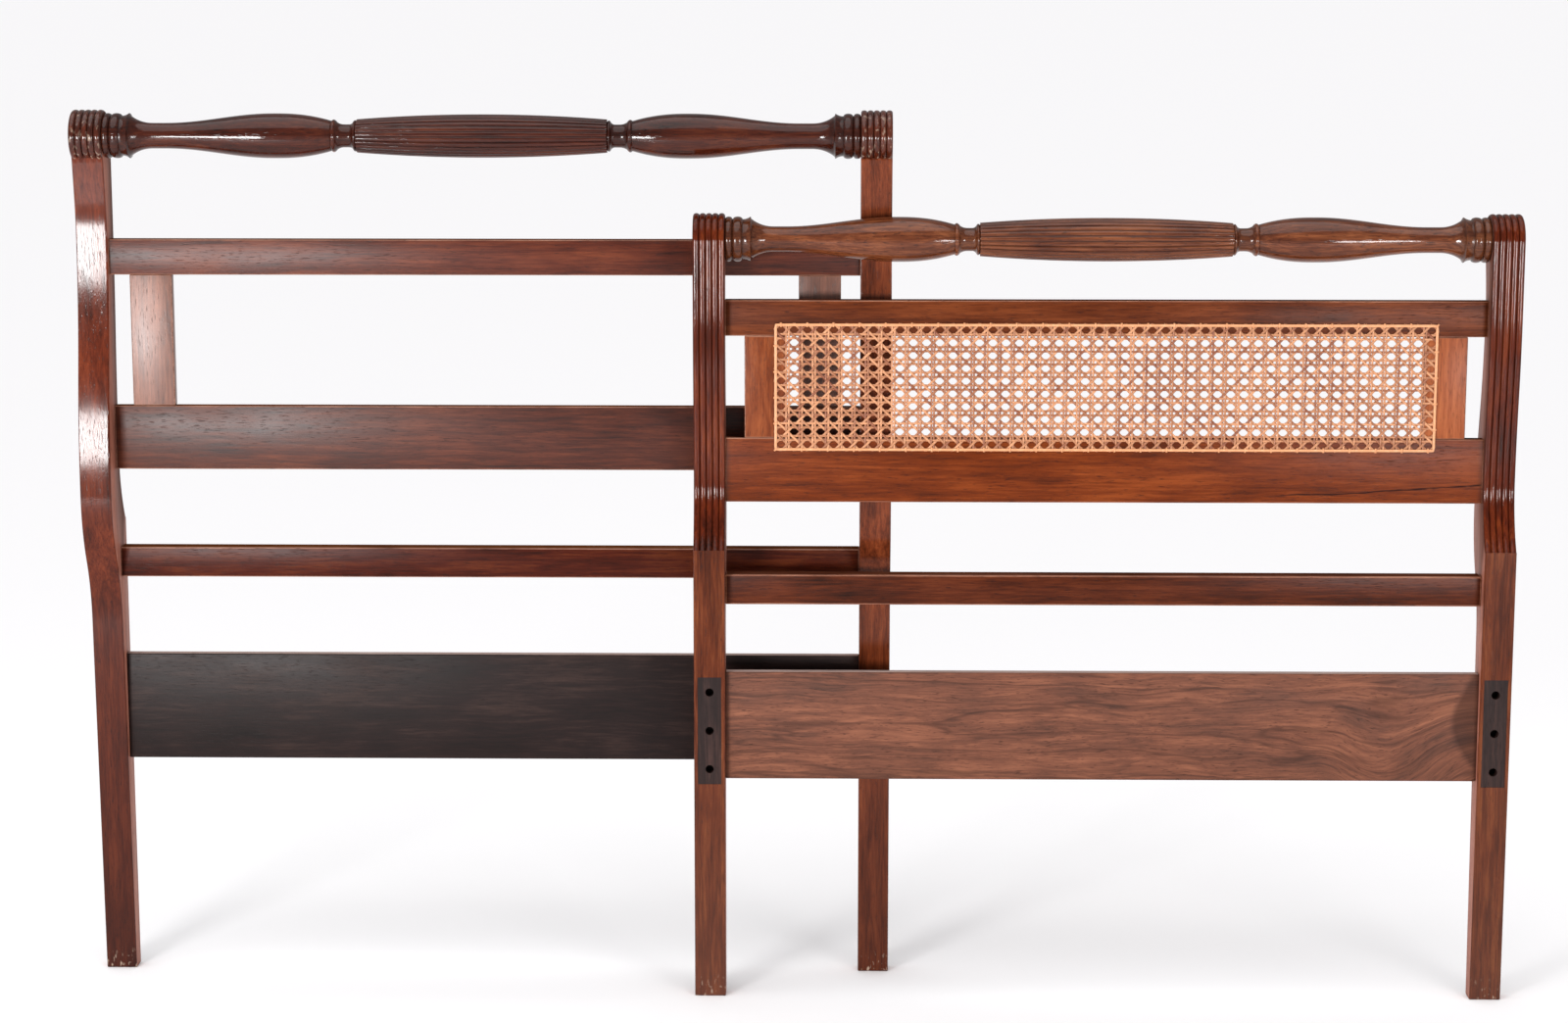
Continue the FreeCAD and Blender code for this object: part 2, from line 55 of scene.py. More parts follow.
SCROLL_RADIUS, SCROLL_AXIS, SCROLL_SWEEP, SWEEP_BEND = 31.0, 45.0, 9.0, 40.0
REEDS, REED_HEIGHT, REED_SINK, ARRIS = 5, 2.2, 0.5, 1.1
REED_ARC, REED_FACETS = math.radians(80), 8     # half the arc of a reed, and the facets across it
REED_STOP = (6.0, 0.4)      # last two rows of the plain face, below the reeds
FACE_STEP, BACK_STEP, SCROLL_STEP, FOOT_STEP, SWEEP_POINTS = 8.0, 6.0, 2.5, 0.8, 16
SEAT_BOTTOM, SEAT_HEIGHT, SEAT_WIDTH, SEAT_DEPTH = 262.0, 130.0, 28.0, 0.6
BOLT_HOLE, BOLT_DEPTH, BOLT_PITCH, BOLT_FACETS = 10.0, 22.0, 46.7, 32
SEAT_CUTTER, CUT_SLACK = 4.0, 0.1
SCROLL_WEAR = 0.55
OUTSIDE, SEAT, SIDE, REEDED = range(4)      # order of a post's materials
WELD, SHARP = 2e-6, 38      # metres and degrees


def arc(start, end, radius, turn, step=3.0):
    """Points from start up to end on a circle: turn 1 anticlockwise, -1 clockwise, -2 the long way."""
    hx, hz = (end[0] - start[0]) / 2, (end[1] - start[1]) / 2
    half = math.hypot(hx, hz)
    rise = math.sqrt(max(radius * radius - half * half, 0.0)) * (1 if turn in (1, -2) else -1)
    cx, cz = start[0] + hx - hz / half * rise, start[1] + hz + hx / half * rise
    first = math.atan2(start[1] - cz, start[0] - cx)
    sweep = math.atan2(end[1] - cz, end[0] - cx) - first
    if turn > 0 and sweep < 0:
        sweep += 2 * math.pi
    if turn < 0 and sweep > 0:
        sweep -= 2 * math.pi
    count = max(3, math.ceil(abs(sweep) * radius / step))
    angles = [first + sweep * i / count for i in range(count)]
    return [(cx + radius * math.cos(a), cz + radius * math.sin(a)) for a in angles]


def ogee(height, depth):
    """Radius of two equal arcs that shift an upright line sideways by depth over a height."""
    return (height * height + depth * depth) / (depth * 4)


def post_outline(knee, axis):
    """The post's side view as a closed line of (d, z, reeded), up the mattress face and down the back."""
    bow, neck, top_face = knee + POST_BOW_RISE, axis - POST_NECK_DROP, SCROLL_AXIS - SCROLL_RADIUS
    swing = (POST_BOW_RISE ** 2 + POST_BOW_FACE ** 2) / (POST_BOW_FACE * 2)
    front = ogee(neck - bow, POST_BOW_FACE - top_face)
    full = knee + POST_FULL_RISE
    waist = axis - WAIST_SHARE * (axis - full)
    back = ogee(waist - full, POST_FULL - POST_WAIST)
    calf = ogee(full - POST_TAPER_TOP, POST_FULL - POST_LEG_DEPTH)
    drop = math.sqrt(SCROLL_RADIUS ** 2 - (POST_WAIST + SCROLL_SWEEP - SCROLL_AXIS) ** 2)
    under = (POST_WAIST + SCROLL_SWEEP, axis - drop)
    slope = SCROLL_SWEEP / (under[1] - waist - SWEEP_BEND / 2)
    middle = ((POST_BOW_FACE + top_face) / 2, (bow + neck) / 2)
    reeded = arc((0, knee), (POST_BOW_FACE, bow), swing, 1)
    reeded += arc((POST_BOW_FACE, bow), middle, front, 1, FACE_STEP)
    reeded += arc(middle, (top_face, neck), front, -1, FACE_STEP)
    reeded += [(top_face, neck), (top_face, (neck + axis) / 2)]
    reeded += arc((top_face, axis), under, SCROLL_RADIUS, -2, SCROLL_STEP)
    plain = []
    for k in range(SWEEP_POINTS):
        rise = (under[1] - waist) * (1 - k / SWEEP_POINTS)
        bent = min(rise, SWEEP_BEND) ** 2 / (2 * SWEEP_BEND) + max(rise - SWEEP_BEND, 0.0)
        plain.append((POST_WAIST + slope * bent, waist + rise))
    middle = ((POST_WAIST + POST_FULL) / 2, (waist + full) / 2)
    plain += arc((POST_WAIST, waist), middle, back, 1, BACK_STEP)
    plain += arc(middle, (POST_FULL, full), back, -1, BACK_STEP)
    middle = ((POST_FULL + POST_LEG_DEPTH) / 2, (full + POST_TAPER_TOP) / 2)
    plain += arc((POST_FULL, full), middle, calf, -1, BACK_STEP)
    plain += arc(middle, (POST_LEG_DEPTH, POST_TAPER_TOP), calf, 1, BACK_STEP)
    heel = POST_FOOT_DEPTH
    plain += [(POST_LEG_DEPTH, POST_TAPER_TOP), (heel + 0.1, FOOT_ROUND + 0.5)]
    plain += arc((heel, FOOT_ROUND), (heel - FOOT_ROUND, 0.0), FOOT_ROUND, -1, FOOT_STEP)
    plain += [(heel - FOOT_ROUND, 0.0)]
    plain += arc((FOOT_ROUND, 0.0), (0.0, FOOT_ROUND), FOOT_ROUND, -1, FOOT_STEP)
    plain += [(0.0, FOOT_ROUND)] + [(0.0, knee - below) for below in REED_STOP]
    return [(d, z, True) for d, z in reeded] + [(d, z, False) for d, z in plain]


def post_section(half_width):
    """Across the post: (x, depth under the reeded face, depth under the plain face)."""
    columns = []
    reed = half_width / REEDS
    for i in range(REEDS):
        for k in range(0 if i == 0 else 1, REED_FACETS + 1):
            a = -REED_ARC + 2 * REED_ARC * k / REED_FACETS
            x = -half_width + reed * (2 * i + 1) + reed * math.sin(a) / math.sin(REED_ARC)
            edge = max(ARRIS - (half_width - abs(x)), 0.0)
            hollow = REED_SINK + REED_HEIGHT * (1 - math.cos(a)) / (1 - math.cos(REED_ARC))
            columns.append((x, hollow, ARRIS - math.sqrt(max(ARRIS ** 2 - edge ** 2, 0.0))))
    return columns


def finished(name, bm, materials, sharp=SHARP):
    """A mesh object from bm: merged, faces outwards, smooth apart from edges sharper than an angle."""
    bmesh.ops.remove_doubles(bm, verts=bm.verts, dist=WELD)
    bmesh.ops.recalc_face_normals(bm, faces=bm.faces)
    for face in bm.faces:
        face.smooth = True
    for edge in bm.edges:
        edge.smooth = edge.calc_face_angle(0.0) < math.radians(sharp)
    mesh = bpy.data.meshes.new(name)
    bm.to_mesh(mesh)
    bm.free()
    for material in materials:
        mesh.materials.append(material)
    made = bpy.data.objects.new(name, mesh)
    bpy.context.scene.collection.objects.link(made)
    return made


def baked(item):
    """Turns an object with modifiers into one plain mesh at the origin."""
    bpy.context.view_layer.update()
    graph = bpy.context.evaluated_depsgraph_get()
    mesh = bpy.data.meshes.new_from_object(item.evaluated_get(graph), depsgraph=graph)
    item.modifiers.clear()
    item.data = mesh
    mesh.name = item.name
    return item


def srgb(code):
    """A hex colour as linear red, green, blue and alpha."""
    parts = [int(code[i:i + 2], 16) / 255 for i in (1, 3, 5)]
    return [c / 12.92 if c < 0.04045 else ((c + 0.055) / 1.055) ** 2.4 for c in parts] + [1.0]


def node(tree, kind, links=None, **settings):
    """Adds one node; a link's value is another node's output or a plain value."""
    made = tree.nodes.new(kind)
    for key, value in settings.items():
        setattr(made, key, value)
    for socket, source in (links or {}).items():
        if isinstance(source, bpy.types.NodeSocket):
            tree.links.new(source, made.inputs[socket])
        else:
            made.inputs[socket].default_value = source
    return made


WOOD_IOR = 1.5
# Dark colour of pores, darker hollows, veins and the crack, and of dirt with painted shade at board ends
DIRT_AND_SHADE, BARE_WOOD = "#140806", "#A08A78"
# Dirt and painted shade darken each board's ends next to the posts.
JOINT_DIRT_AND_SHADE = (0.437, 0.446, 0.55)       # metres from the end's middle, from none to full, and its strength
FOOT_CHIPS = (0.004, 0.028, 0.8)        # metres off the floor where chips thin out and stop, and their share
CRACK_WIDTH, CRACK_WANDER, CRACK_FADE = (0.0004, 0.0013), 0.006, 0.08


def rosewood(name, dark, middle, light, grain, gloss, specular, joint=None, swirl=None, crack=None, vein=0.0,
             stripe=(0.009, 0.16), low=None, wander=0.005, pore=(0.001, 0.011)):
    """Rosewood with its open pores filled by polish: ribbon stripes some 9 mm wide and 160 mm long that
    wander a little, lines 2.4 mm wide, and pores drawn 1 by 11 mm, coarser than the real ones, to show."""
    material = bpy.data.materials.new(name)
    material.use_nodes = True
    tree = material.node_tree
    shader = tree.nodes["Principled BSDF"]
    place = node(tree, "ShaderNodeTexCoord").outputs["Object"]
    if swirl:       # the grain turns round a knot
        centre, reach, turn = swirl
        away = node(tree, "ShaderNodeVectorMath", {0: place, 1: centre}, operation="DISTANCE")
        bend = node(tree, "ShaderNodeMapRange", {
            "Value": away.outputs["Value"], "From Min": 0.0, "From Max": reach, "To Min": turn,
            "To Max": 0.0}, interpolation_type="SMOOTHSTEP")
        place = node(tree, "ShaderNodeVectorRotate", {
            "Vector": place, "Center": centre, "Axis": (0, 1, 0),
            "Angle": bend.outputs["Result"]}).outputs["Vector"]

    def along(across, length):
        size = [1 / across] * 3
        size["XYZ".index(grain)] = 1 / length
        return node(tree, "ShaderNodeMapping", {"Vector": place, "Scale": size}).outputs["Vector"]

    # Figure: ribbons, fine lines and broad clouds along the grain
    drift = node(tree, "ShaderNodeTexNoise", {"Vector": along(0.05, 0.15), "Scale": 1.0, "Detail": 2.0})
    shift = [0.0 if axis == grain else wander for axis in "XYZ"]
    place = node(tree, "ShaderNodeVectorMath", {0: drift.outputs["Color"], 1: shift, 2: place},
                 operation="MULTIPLY_ADD").outputs["Vector"]
    ribbon = node(tree, "ShaderNodeTexNoise", {
        "Vector": along(*stripe), "Scale": 1.0, "Detail": 5.0, "Roughness": 0.62, "Distortion": 0.6})
    lines = node(tree, "ShaderNodeTexNoise", {
        "Vector": along(0.0024, 0.04), "Scale": 1.0, "Detail": 4.0, "Roughness": 0.65})
    cloud = node(tree, "ShaderNodeTexNoise", {"Vector": along(0.045, 0.12), "Scale": 1.0, "Detail": 3.0})
    both = node(tree, "ShaderNodeMix", {
        "Factor": 0.48, "A": ribbon.outputs["Fac"], "B": lines.outputs["Fac"]})
    tone = node(tree, "ShaderNodeMix", {
        "Factor": 0.3, "A": both.outputs["Result"], "B": cloud.outputs["Fac"]})
    ramp = node(tree, "ShaderNodeValToRGB", {"Fac": tone.outputs["Result"]})
    first, last = ramp.color_ramp.elements
    first.position, first.color = 0.36, srgb(dark)
    last.position, last.color = 0.64, srgb(light)
    ramp.color_ramp.elements.new(0.5).color = srgb(middle)

    # Dark places: pores, darker hollows, dirt and painted shade at the joints, veins and a crack
    pores = node(tree, "ShaderNodeTexNoise", {"Vector": along(*pore), "Scale": 1.0, "Detail": 1.0})
    pit = node(tree, "ShaderNodeMapRange", {
        "Value": pores.outputs["Fac"], "From Min": 0.62, "From Max": 0.72})
    shade = node(tree, "ShaderNodeMath", {0: pit.outputs["Result"], 1: 0.55}, operation="MULTIPLY")
    darkness = node(tree, "ShaderNodeAttribute", attribute_name="darkness")
    darkening = node(tree, "ShaderNodeMath", {0: darkness.outputs["Fac"], 1: 0.75}, operation="MULTIPLY")
    # Dirt and painted shade at the board's ends, where the posts shade it
    if joint:
        spot = node(tree, "ShaderNodeSeparateXYZ", {"Vector": place})
        off = node(tree, "ShaderNodeMath", {0: spot.outputs["X"], 1: joint}, operation="SUBTRACT")
        size = node(tree, "ShaderNodeMath", {0: off.outputs["Value"]}, operation="ABSOLUTE")
        near = node(tree, "ShaderNodeMapRange", {
            "Value": size.outputs["Value"], "From Min": JOINT_DIRT_AND_SHADE[0], "From Max": JOINT_DIRT_AND_SHADE[1],
            "To Max": JOINT_DIRT_AND_SHADE[2]}, interpolation_type="SMOOTHSTEP")
        darkening = node(tree, "ShaderNodeMath", {0: darkening.outputs["Value"], 1: near.outputs["Result"]},
                    operation="MAXIMUM")
    dark_spots = node(tree, "ShaderNodeMath", {0: darkening.outputs["Value"], 1: shade.outputs["Value"]},
                      operation="MAXIMUM")
    if vein:
        flow = node(tree, "ShaderNodeTexNoise", {
            "Vector": along(0.03, 0.45), "Scale": 1.0, "Detail": 3.0, "Roughness": 0.55, "Distortion": 0.5})
        off = node(tree, "ShaderNodeMath", {0: flow.outputs["Fac"], 1: 0.5}, operation="SUBTRACT")
        size = node(tree, "ShaderNodeMath", {0: off.outputs["Value"]}, operation="ABSOLUTE")
        line = node(tree, "ShaderNodeMapRange", {
            "Value": size.outputs["Value"], "From Min": 0.004, "From Max": 0.035, "To Min": vein,
            "To Max": 0.0})
        dark_spots = node(tree, "ShaderNodeMath", {
            0: dark_spots.outputs["Value"], 1: line.outputs["Result"]}, operation="MAXIMUM")
    if crack:
        start_x, start_z, rise = crack
        spot = node(tree, "ShaderNodeSeparateXYZ", {"Vector": place})
        slope = node(tree, "ShaderNodeMath", {
            0: spot.outputs["X"], 1: rise, 2: start_z - start_x * rise}, operation="MULTIPLY_ADD")
        path = node(tree, "ShaderNodeMath", {
            0: lines.outputs["Fac"], 1: CRACK_WANDER, 2: slope.outputs["Value"]}, operation="MULTIPLY_ADD")
        off = node(tree, "ShaderNodeMath", {0: spot.outputs["Z"], 1: path.outputs["Value"]},
                   operation="SUBTRACT")
        size = node(tree, "ShaderNodeMath", {0: off.outputs["Value"]}, operation="ABSOLUTE")
        line = node(tree, "ShaderNodeMapRange", {
            "Value": size.outputs["Value"], "From Min": CRACK_WIDTH[0], "From Max": CRACK_WIDTH[1],
            "To Min": 0.9, "To Max": 0.0})
        reach = node(tree, "ShaderNodeMapRange", {
            "Value": spot.outputs["X"], "From Min": start_x, "From Max": start_x + CRACK_FADE})
        split = node(tree, "ShaderNodeMath", {0: line.outputs["Result"], 1: reach.outputs["Result"]},
                     operation="MULTIPLY")
        dark_spots = node(tree, "ShaderNodeMath", {
            0: dark_spots.outputs["Value"], 1: split.outputs["Value"]}, operation="MAXIMUM")
    colour = node(tree, "ShaderNodeMix", {
        "Factor": dark_spots.outputs["Value"], "A": ramp.outputs["Color"], "B": srgb(DIRT_AND_SHADE)}, data_type="RGBA")

    # Wear and painted shade: legs change tone towards the floor, on the head's left post darker as
    # painted shade, and chips show bare wood on scrolls and feet
    wear = node(tree, "ShaderNodeAttribute", attribute_name="worn").outputs["Fac"]
    if low:
        tint, share, height = low
        spot = node(tree, "ShaderNodeSeparateXYZ", {"Vector": place})
        near = node(tree, "ShaderNodeMapRange", {
            "Value": spot.outputs["Z"], "From Min": 0.0, "From Max": height, "To Min": share, "To Max": 0.0})
        colour = node(tree, "ShaderNodeMix", {
            "Factor": near.outputs["Result"], "A": colour.outputs["Result"], "B": srgb(tint)},
            data_type="RGBA")
        foot = node(tree, "ShaderNodeMapRange", {
            "Value": spot.outputs["Z"], "From Min": FOOT_CHIPS[0], "From Max": FOOT_CHIPS[1],
            "To Min": FOOT_CHIPS[2], "To Max": 0.0})
        wear = node(tree, "ShaderNodeMath", {0: wear, 1: foot.outputs["Result"]},
                    operation="MAXIMUM").outputs["Value"]
    chips = node(tree, "ShaderNodeTexNoise", {"Vector": along(0.004, 0.009), "Scale": 1.0, "Detail": 3.0})
    patch = node(tree, "ShaderNodeMapRange", {
        "Value": chips.outputs["Fac"], "From Min": 0.58, "From Max": 0.68})
    bare = node(tree, "ShaderNodeMath", {0: patch.outputs["Result"], 1: wear}, operation="MULTIPLY")
    colour = node(tree, "ShaderNodeMix", {
        "Factor": bare.outputs["Value"], "A": colour.outputs["Result"], "B": srgb(BARE_WOOD)},
        data_type="RGBA")
    tree.links.new(colour.outputs["Result"], shader.inputs["Base Color"])

    # Polish: uneven gloss, dull where it is darkened, with sunk pores and lines
    sheen = node(tree, "ShaderNodeMapRange", {
        "Value": cloud.outputs["Fac"], "From Min": 0.3, "From Max": 0.7, "To Min": gloss[0],
        "To Max": gloss[1]})
    thick = node(tree, "ShaderNodeMapRange", {
        "Value": dark_spots.outputs["Value"], "From Min": 0.35, "To Max": 0.4})
    dull = node(tree, "ShaderNodeMath", {0: thick.outputs["Result"], 1: sheen.outputs["Result"]},
                operation="ADD")
    tree.links.new(dull.outputs["Value"], shader.inputs["Roughness"])
    relief = node(tree, "ShaderNodeMath", {0: pit.outputs["Result"], 1: -0.8, 2: lines.outputs["Fac"]},
                  operation="MULTIPLY_ADD")
    bump = node(tree, "ShaderNodeBump", {
        "Strength": 0.22, "Distance": 0.0003, "Height": relief.outputs["Value"]})
    tree.links.new(bump.outputs["Normal"], shader.inputs["Normal"])
    shader.inputs["IOR"].default_value = WOOD_IOR
    shader.inputs["Specular IOR Level"].default_value = specular
    return material


# French polish on the bowed outside gives bright patches over a clear red-brown figure; where light has
# faded it the post is paler and veined. The feet are darker or greyer, with chips of bare wood.
foot_post_wood = rosewood(
    "rosewood_sawn_and_polished_in_a_warmer_tone", "#2A0E05", "#562612", "#743E20", "Z", (0.2, 0.3), 0.12,
    low=("#564039", 0.3, 0.4), vein=0.3)
post_wood = {
    # Its leg is painted darker towards the floor as painted shade.
    "head_left": rosewood(
        "rosewood_sawn_and_french_polished", "#260B04", "#501E0E", "#6C2E17", "Z", (0.08, 0.13), 0.22,
        low=("#1C0804", 0.65, 0.75)),
    "head_right": rosewood(
        "rosewood_sawn_and_polished_where_faded", "#341307", "#642D17", "#824123", "Z", (0.14, 0.22), 0.18,
        low=("#2A0F07", 0.6, 0.6), vein=0.25),
    "foot_left": foot_post_wood,
    "foot_right": foot_post_wood}
# Polish on the reeds' crowns gives thin bright lines, and the hollows between them are darker.
reed_wood = {
    "head": rosewood(
        "rosewood_reeded_and_scuffed", "#1E0904", "#40180B", "#5A2614", "Z", (0.09, 0.15), 0.35),
    "foot": rosewood(
        "rosewood_reeded_and_french_polished", "#200802", "#4C1806", "#6A2C0E", "Z", (0.07, 0.12), 0.19)}
# The sides are painted pale and flat, as painted light from the side.
# Iron has turned the seats a dull black.
painted_lit_side_wood = rosewood("rosewood_sawn_and_left_dull", "#6A3C2E", "#98604F", "#B07868", "Z", (0.4, 0.5), 0.06)
seat_wood = rosewood("rosewood_stained_by_iron", "#160D0C", "#241715", "#3E2924", "Z", (0.45, 0.6), 0.16)

for end in ("head", "foot"):
    face_y, outward = END_FACE[end], END_OUTWARD[end]
    for side in ("left", "right"):
        name = "%s_%s_post" % (end, side)
        low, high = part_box(name)
        middle, half = (low.x + high.x) / 2, (high.x - low.x) * 500
        outline = post_outline(POST_KNEE[end], high.z * 1000 - SCROLL_RADIUS)
        section = post_section(half)
        bm = bmesh.new()
        darkness, worn = [bm.verts.layers.float.new(key) for key in ("darkness", "worn")]
        scuffed = end == "head"
        grid = []
        for i, (d, z, reeded) in enumerate(outline):
            before, after = outline[i - 1], outline[(i + 1) % len(outline)]
            run = (after[0] - before[0], after[1] - before[1])
            size = math.hypot(*run)
            inward = (run[1] / size, -run[0] / size)
            row = []
            for x, hollow, plain in section:
                depth = hollow if reeded else plain
                vert = bm.verts.new((middle + x / 1000, face_y + outward * (d + inward[0] * depth) / 1000,
                                     (z + inward[1] * depth) / 1000))
                sunk = min(max((hollow - REED_SINK) / REED_HEIGHT, 0.0), 1.0)
                vert[darkness] = sunk ** 2 if reeded else 0.0
                if scuffed and reeded and d > SCROLL_AXIS:
                    vert[worn] = SCROLL_WEAR * (1 - sunk)
                row.append(vert)
            grid.append(row)
        for i, row in enumerate(grid):
            after = grid[(i + 1) % len(grid)]
            both_reeded = outline[i][2] and outline[(i + 1) % len(grid)][2]
            for k in range(len(row) - 1):
                face = bm.faces.new((row[k], row[k + 1], after[k + 1], after[k]))
                face.material_index = REEDED if both_reeded else OUTSIDE
        # The side faces take the pale colour of painted light.
        for k in (0, len(section) - 1):
            bm.faces.new([row[k] for row in grid]).material_index = SIDE
        woods = [post_wood[end + "_" + side], seat_wood, painted_lit_side_wood, reed_wood[end]]
        post = finished("visual_" + name, bm, woods)

        seat = bmesh.new()
        bmesh.ops.create_cube(seat, size=1.0)
        for vert in seat.verts:
            vert.co = (middle + vert.co.x * SEAT_WIDTH / 1000,
                       face_y + outward * (vert.co.y * SEAT_CUTTER + SEAT_DEPTH - SEAT_CUTTER / 2) / 1000,
                       (SEAT_BOTTOM + SEAT_HEIGHT * (vert.co.z + 0.5)) / 1000)
        holes = bmesh.new()
        for i in (-1, 0, 1):
            made = bmesh.ops.create_cone(
                holes, cap_ends=True, segments=BOLT_FACETS, radius1=BOLT_HOLE / 2000,
                radius2=BOLT_HOLE / 2000, depth=2 * BOLT_DEPTH / 1000)
            for vert in made["verts"]:
                x, y, z = vert.co
                vert.co = (middle + x, face_y + z,
                           (SEAT_BOTTOM + SEAT_HEIGHT / 2 + BOLT_PITCH * i) / 1000 + y)
        cutters = [finished("seat_cutter", seat, []), finished("bolt_hole_cutter", holes, [])]
        for cutter in cutters:
            modifier = post.modifiers.new("cut", "BOOLEAN")
            modifier.operation = "DIFFERENCE"
            modifier.solver = "EXACT"
            modifier.object = cutter
        baked(post)
        post.data.set_sharp_from_angle(angle=math.radians(SHARP))
        for cutter in cutters:
            bpy.data.objects.remove(cutter)
        for face in post.data.polygons:
            x, y, z = face.center
            inside = abs(y - face_y) * 1000
            beside = abs(x - middle) * 1000 < SEAT_WIDTH / 2 + CUT_SLACK
            level = SEAT_BOTTOM - CUT_SLACK < z * 1000 < SEAT_BOTTOM + SEAT_HEIGHT + CUT_SLACK
            if beside and level and CUT_SLACK / 2 < inside < BOLT_DEPTH + CUT_SLACK:
                face.material_index = SEAT
        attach(post, "root")
        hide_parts(name)

# Rails and stiles. Boards of the same wood, planed flat and tenoned; handling has rounded their edges,
# which carry a painted highlight, and dirt and painted shade darken the ends at the joints. The head end's
# outside is duller than the foot end's mattress side. The head's bottom board is dark and bare, the foot's
# dry with a swirl, both pale grey on top; the polished boards' tops are painted shade.
END_MIDDLE = {"head": -0.366, "foot": 0.366}
BOARD_EDGE, EDGE_FACETS = 0.0018, 3
BOARD_WELD, BOARD_FLAT, BOARD_CORNER, BOARD_SHARP = 1e-5, 1, 30, 50     # metres, then degrees
TOP_FACING = 0.9
KNOT = ((0.77, -0.053, 0.27), 0.15, 0.75)       # its middle, its reach and how far it turns the grain
PANEL_CRACK = (0.52, 0.603, 0.055)      # x and z of its start, and its rise to the right
FACE, EDGE, TOP = range(3)      # order of a board's materials


def softened(name, face_wood, edge_wood, top_wood):
    """The board of a CAD node with its edges rounded over; on polished boards the edges get a painted
    highlight and the top face painted shade, each as a material of its own.
    """
    bm = bmesh.new()
    bm.from_mesh(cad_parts[name].data)
    bmesh.ops.remove_doubles(bm, verts=bm.verts, dist=BOARD_WELD)
    bmesh.ops.dissolve_limit(bm, angle_limit=math.radians(BOARD_FLAT), verts=bm.verts, edges=bm.edges)
    corners = [edge for edge in bm.edges if edge.calc_face_angle(0.0) > math.radians(BOARD_CORNER)]
    made = bmesh.ops.bevel(bm, geom=corners, offset=BOARD_EDGE, segments=EDGE_FACETS, profile=0.5,
                           affect="EDGES", clamp_overlap=True)
    # The rounded edges get a paler colour as a painted highlight.
    highlit = set(made["faces"])
    bm.normal_update()
    for face in bm.faces:
        face.material_index = EDGE if face in highlit else TOP if face.normal.z > TOP_FACING else FACE
    board = finished("visual_" + name, bm, [face_wood, edge_wood, top_wood], sharp=BOARD_SHARP)
    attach(board, "root")
    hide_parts(name)
    return board


# Thin, worn polish gives flat boards a soft sheen without streaks and lets the ribbons of the figure show,
# dark brown on the head's outside and redder on the foot's inside. Bare boards look matt and dry.
head_stile_wood = rosewood(
    "rosewood_upright_with_worn_polish", "#3E1E12", "#6A3E2C", "#88543E", "Z", (0.32, 0.42), 0.68)
boards = {
    "head_bottom_rail": rosewood(
        "rosewood_bare_and_darkened", "#0E0706", "#1B0E0C", "#30201B", "X", (0.36, 0.48), 0.16,
        END_MIDDLE["head"], stripe=(0.018, 0.2), wander=0.012),
    "foot_bottom_rail": rosewood(
        "rosewood_dry_and_worn", "#40271E", "#643B2B", "#84523C", "X", (0.5, 0.66), 0.18,
        END_MIDDLE["foot"], KNOT, vein=0.4, stripe=(0.012, 0.2), wander=0.02),
    "head_middle_rail": rosewood(
        "rosewood_with_worn_dark_polish", "#1E0803", "#3E1409", "#582711", "X", (0.26, 0.34), 0.08,
        END_MIDDLE["head"]),
    "foot_middle_rail": rosewood(
        "rosewood_planed_and_polished_dark", "#200A04", "#441A08", "#5E2A12", "X", (0.26, 0.36), 0.1,
        END_MIDDLE["foot"]),
    "head_panel_rail": rosewood(
        "rosewood_with_hazy_polish", "#200A05", "#421A0C", "#5C2B16", "X", (0.34, 0.44), 0.24,
        END_MIDDLE["head"]),
    "foot_panel_rail": rosewood(
        "rosewood_faded_and_polished", "#3A1403", "#5E2405", "#7A3710", "X", (0.28, 0.38), 0.1,
        END_MIDDLE["foot"], crack=PANEL_CRACK),
    "head_upper_rail": rosewood(
        "rosewood_with_worn_polish", "#220A05", "#481B0D", "#642E18", "X", (0.28, 0.36), 0.19,
        END_MIDDLE["head"]),
    "foot_upper_rail": rosewood(
        "rosewood_planed_and_french_polished", "#280D03", "#502109", "#6C3416", "X", (0.26, 0.36), 0.09,
        END_MIDDLE["foot"]),
    "head_left_stile": head_stile_wood,
    "foot_left_stile": rosewood(
        "rosewood_faded_and_mottled_upright", "#421909", "#692F13", "#844422", "Z", (0.28, 0.38), 0.14,
        stripe=(0.012, 0.05), wander=0.012),
    "head_right_stile": head_stile_wood,
    # Painted lighter than the left stile, as painted light from the right.
    "foot_right_stile": rosewood(
        "rosewood_faded_upright", "#602A10", "#844222", "#9E5832", "Z", (0.28, 0.38), 0.14)}
# Pale lines round each board are a painted highlight on its rounded edges.
painted_highlight_edges = {
    "head": rosewood(
        "rosewood_rubbed_along_dull_edges", "#4A281C", "#7A5140", "#96705E", "X", (0.25, 0.35), 0.25),
    "foot": rosewood(
        "rosewood_rubbed_along_polished_edges", "#4E2818", "#7A4C38", "#9A6C56", "X", (0.2, 0.3), 0.3)}
# Polished tops are painted shade: a colour of their own, without reflection, for how light falls on them.
# Bare tops are pale grey.
painted_shade_tops = {
    "head": rosewood("rosewood_polished_on_top", "#40200F", "#5E331D", "#72472B", "X", (0.5, 0.6), 0.0),
    "foot": rosewood("rosewood_polished_dark_on_top", "#34180D", "#50291B", "#643C2A", "X", (0.5, 0.6), 0.0)}
pale_top = rosewood("rosewood_bare_and_dusty_on_top", "#8E756C", "#A88F86", "#C0AAA2", "X", (0.6, 0.7), 0.2)
slots = {"head_bottom_rail": "stained_rosewood", "foot_bottom_rail": "dry_rosewood"}
for name, wood in boards.items():
    end = name[:4]
    if name in slots:
        board = softened(name, wood, wood, pale_top)
    else:
        board = softened(name, wood, painted_highlight_edges[end], painted_shade_tops[end])

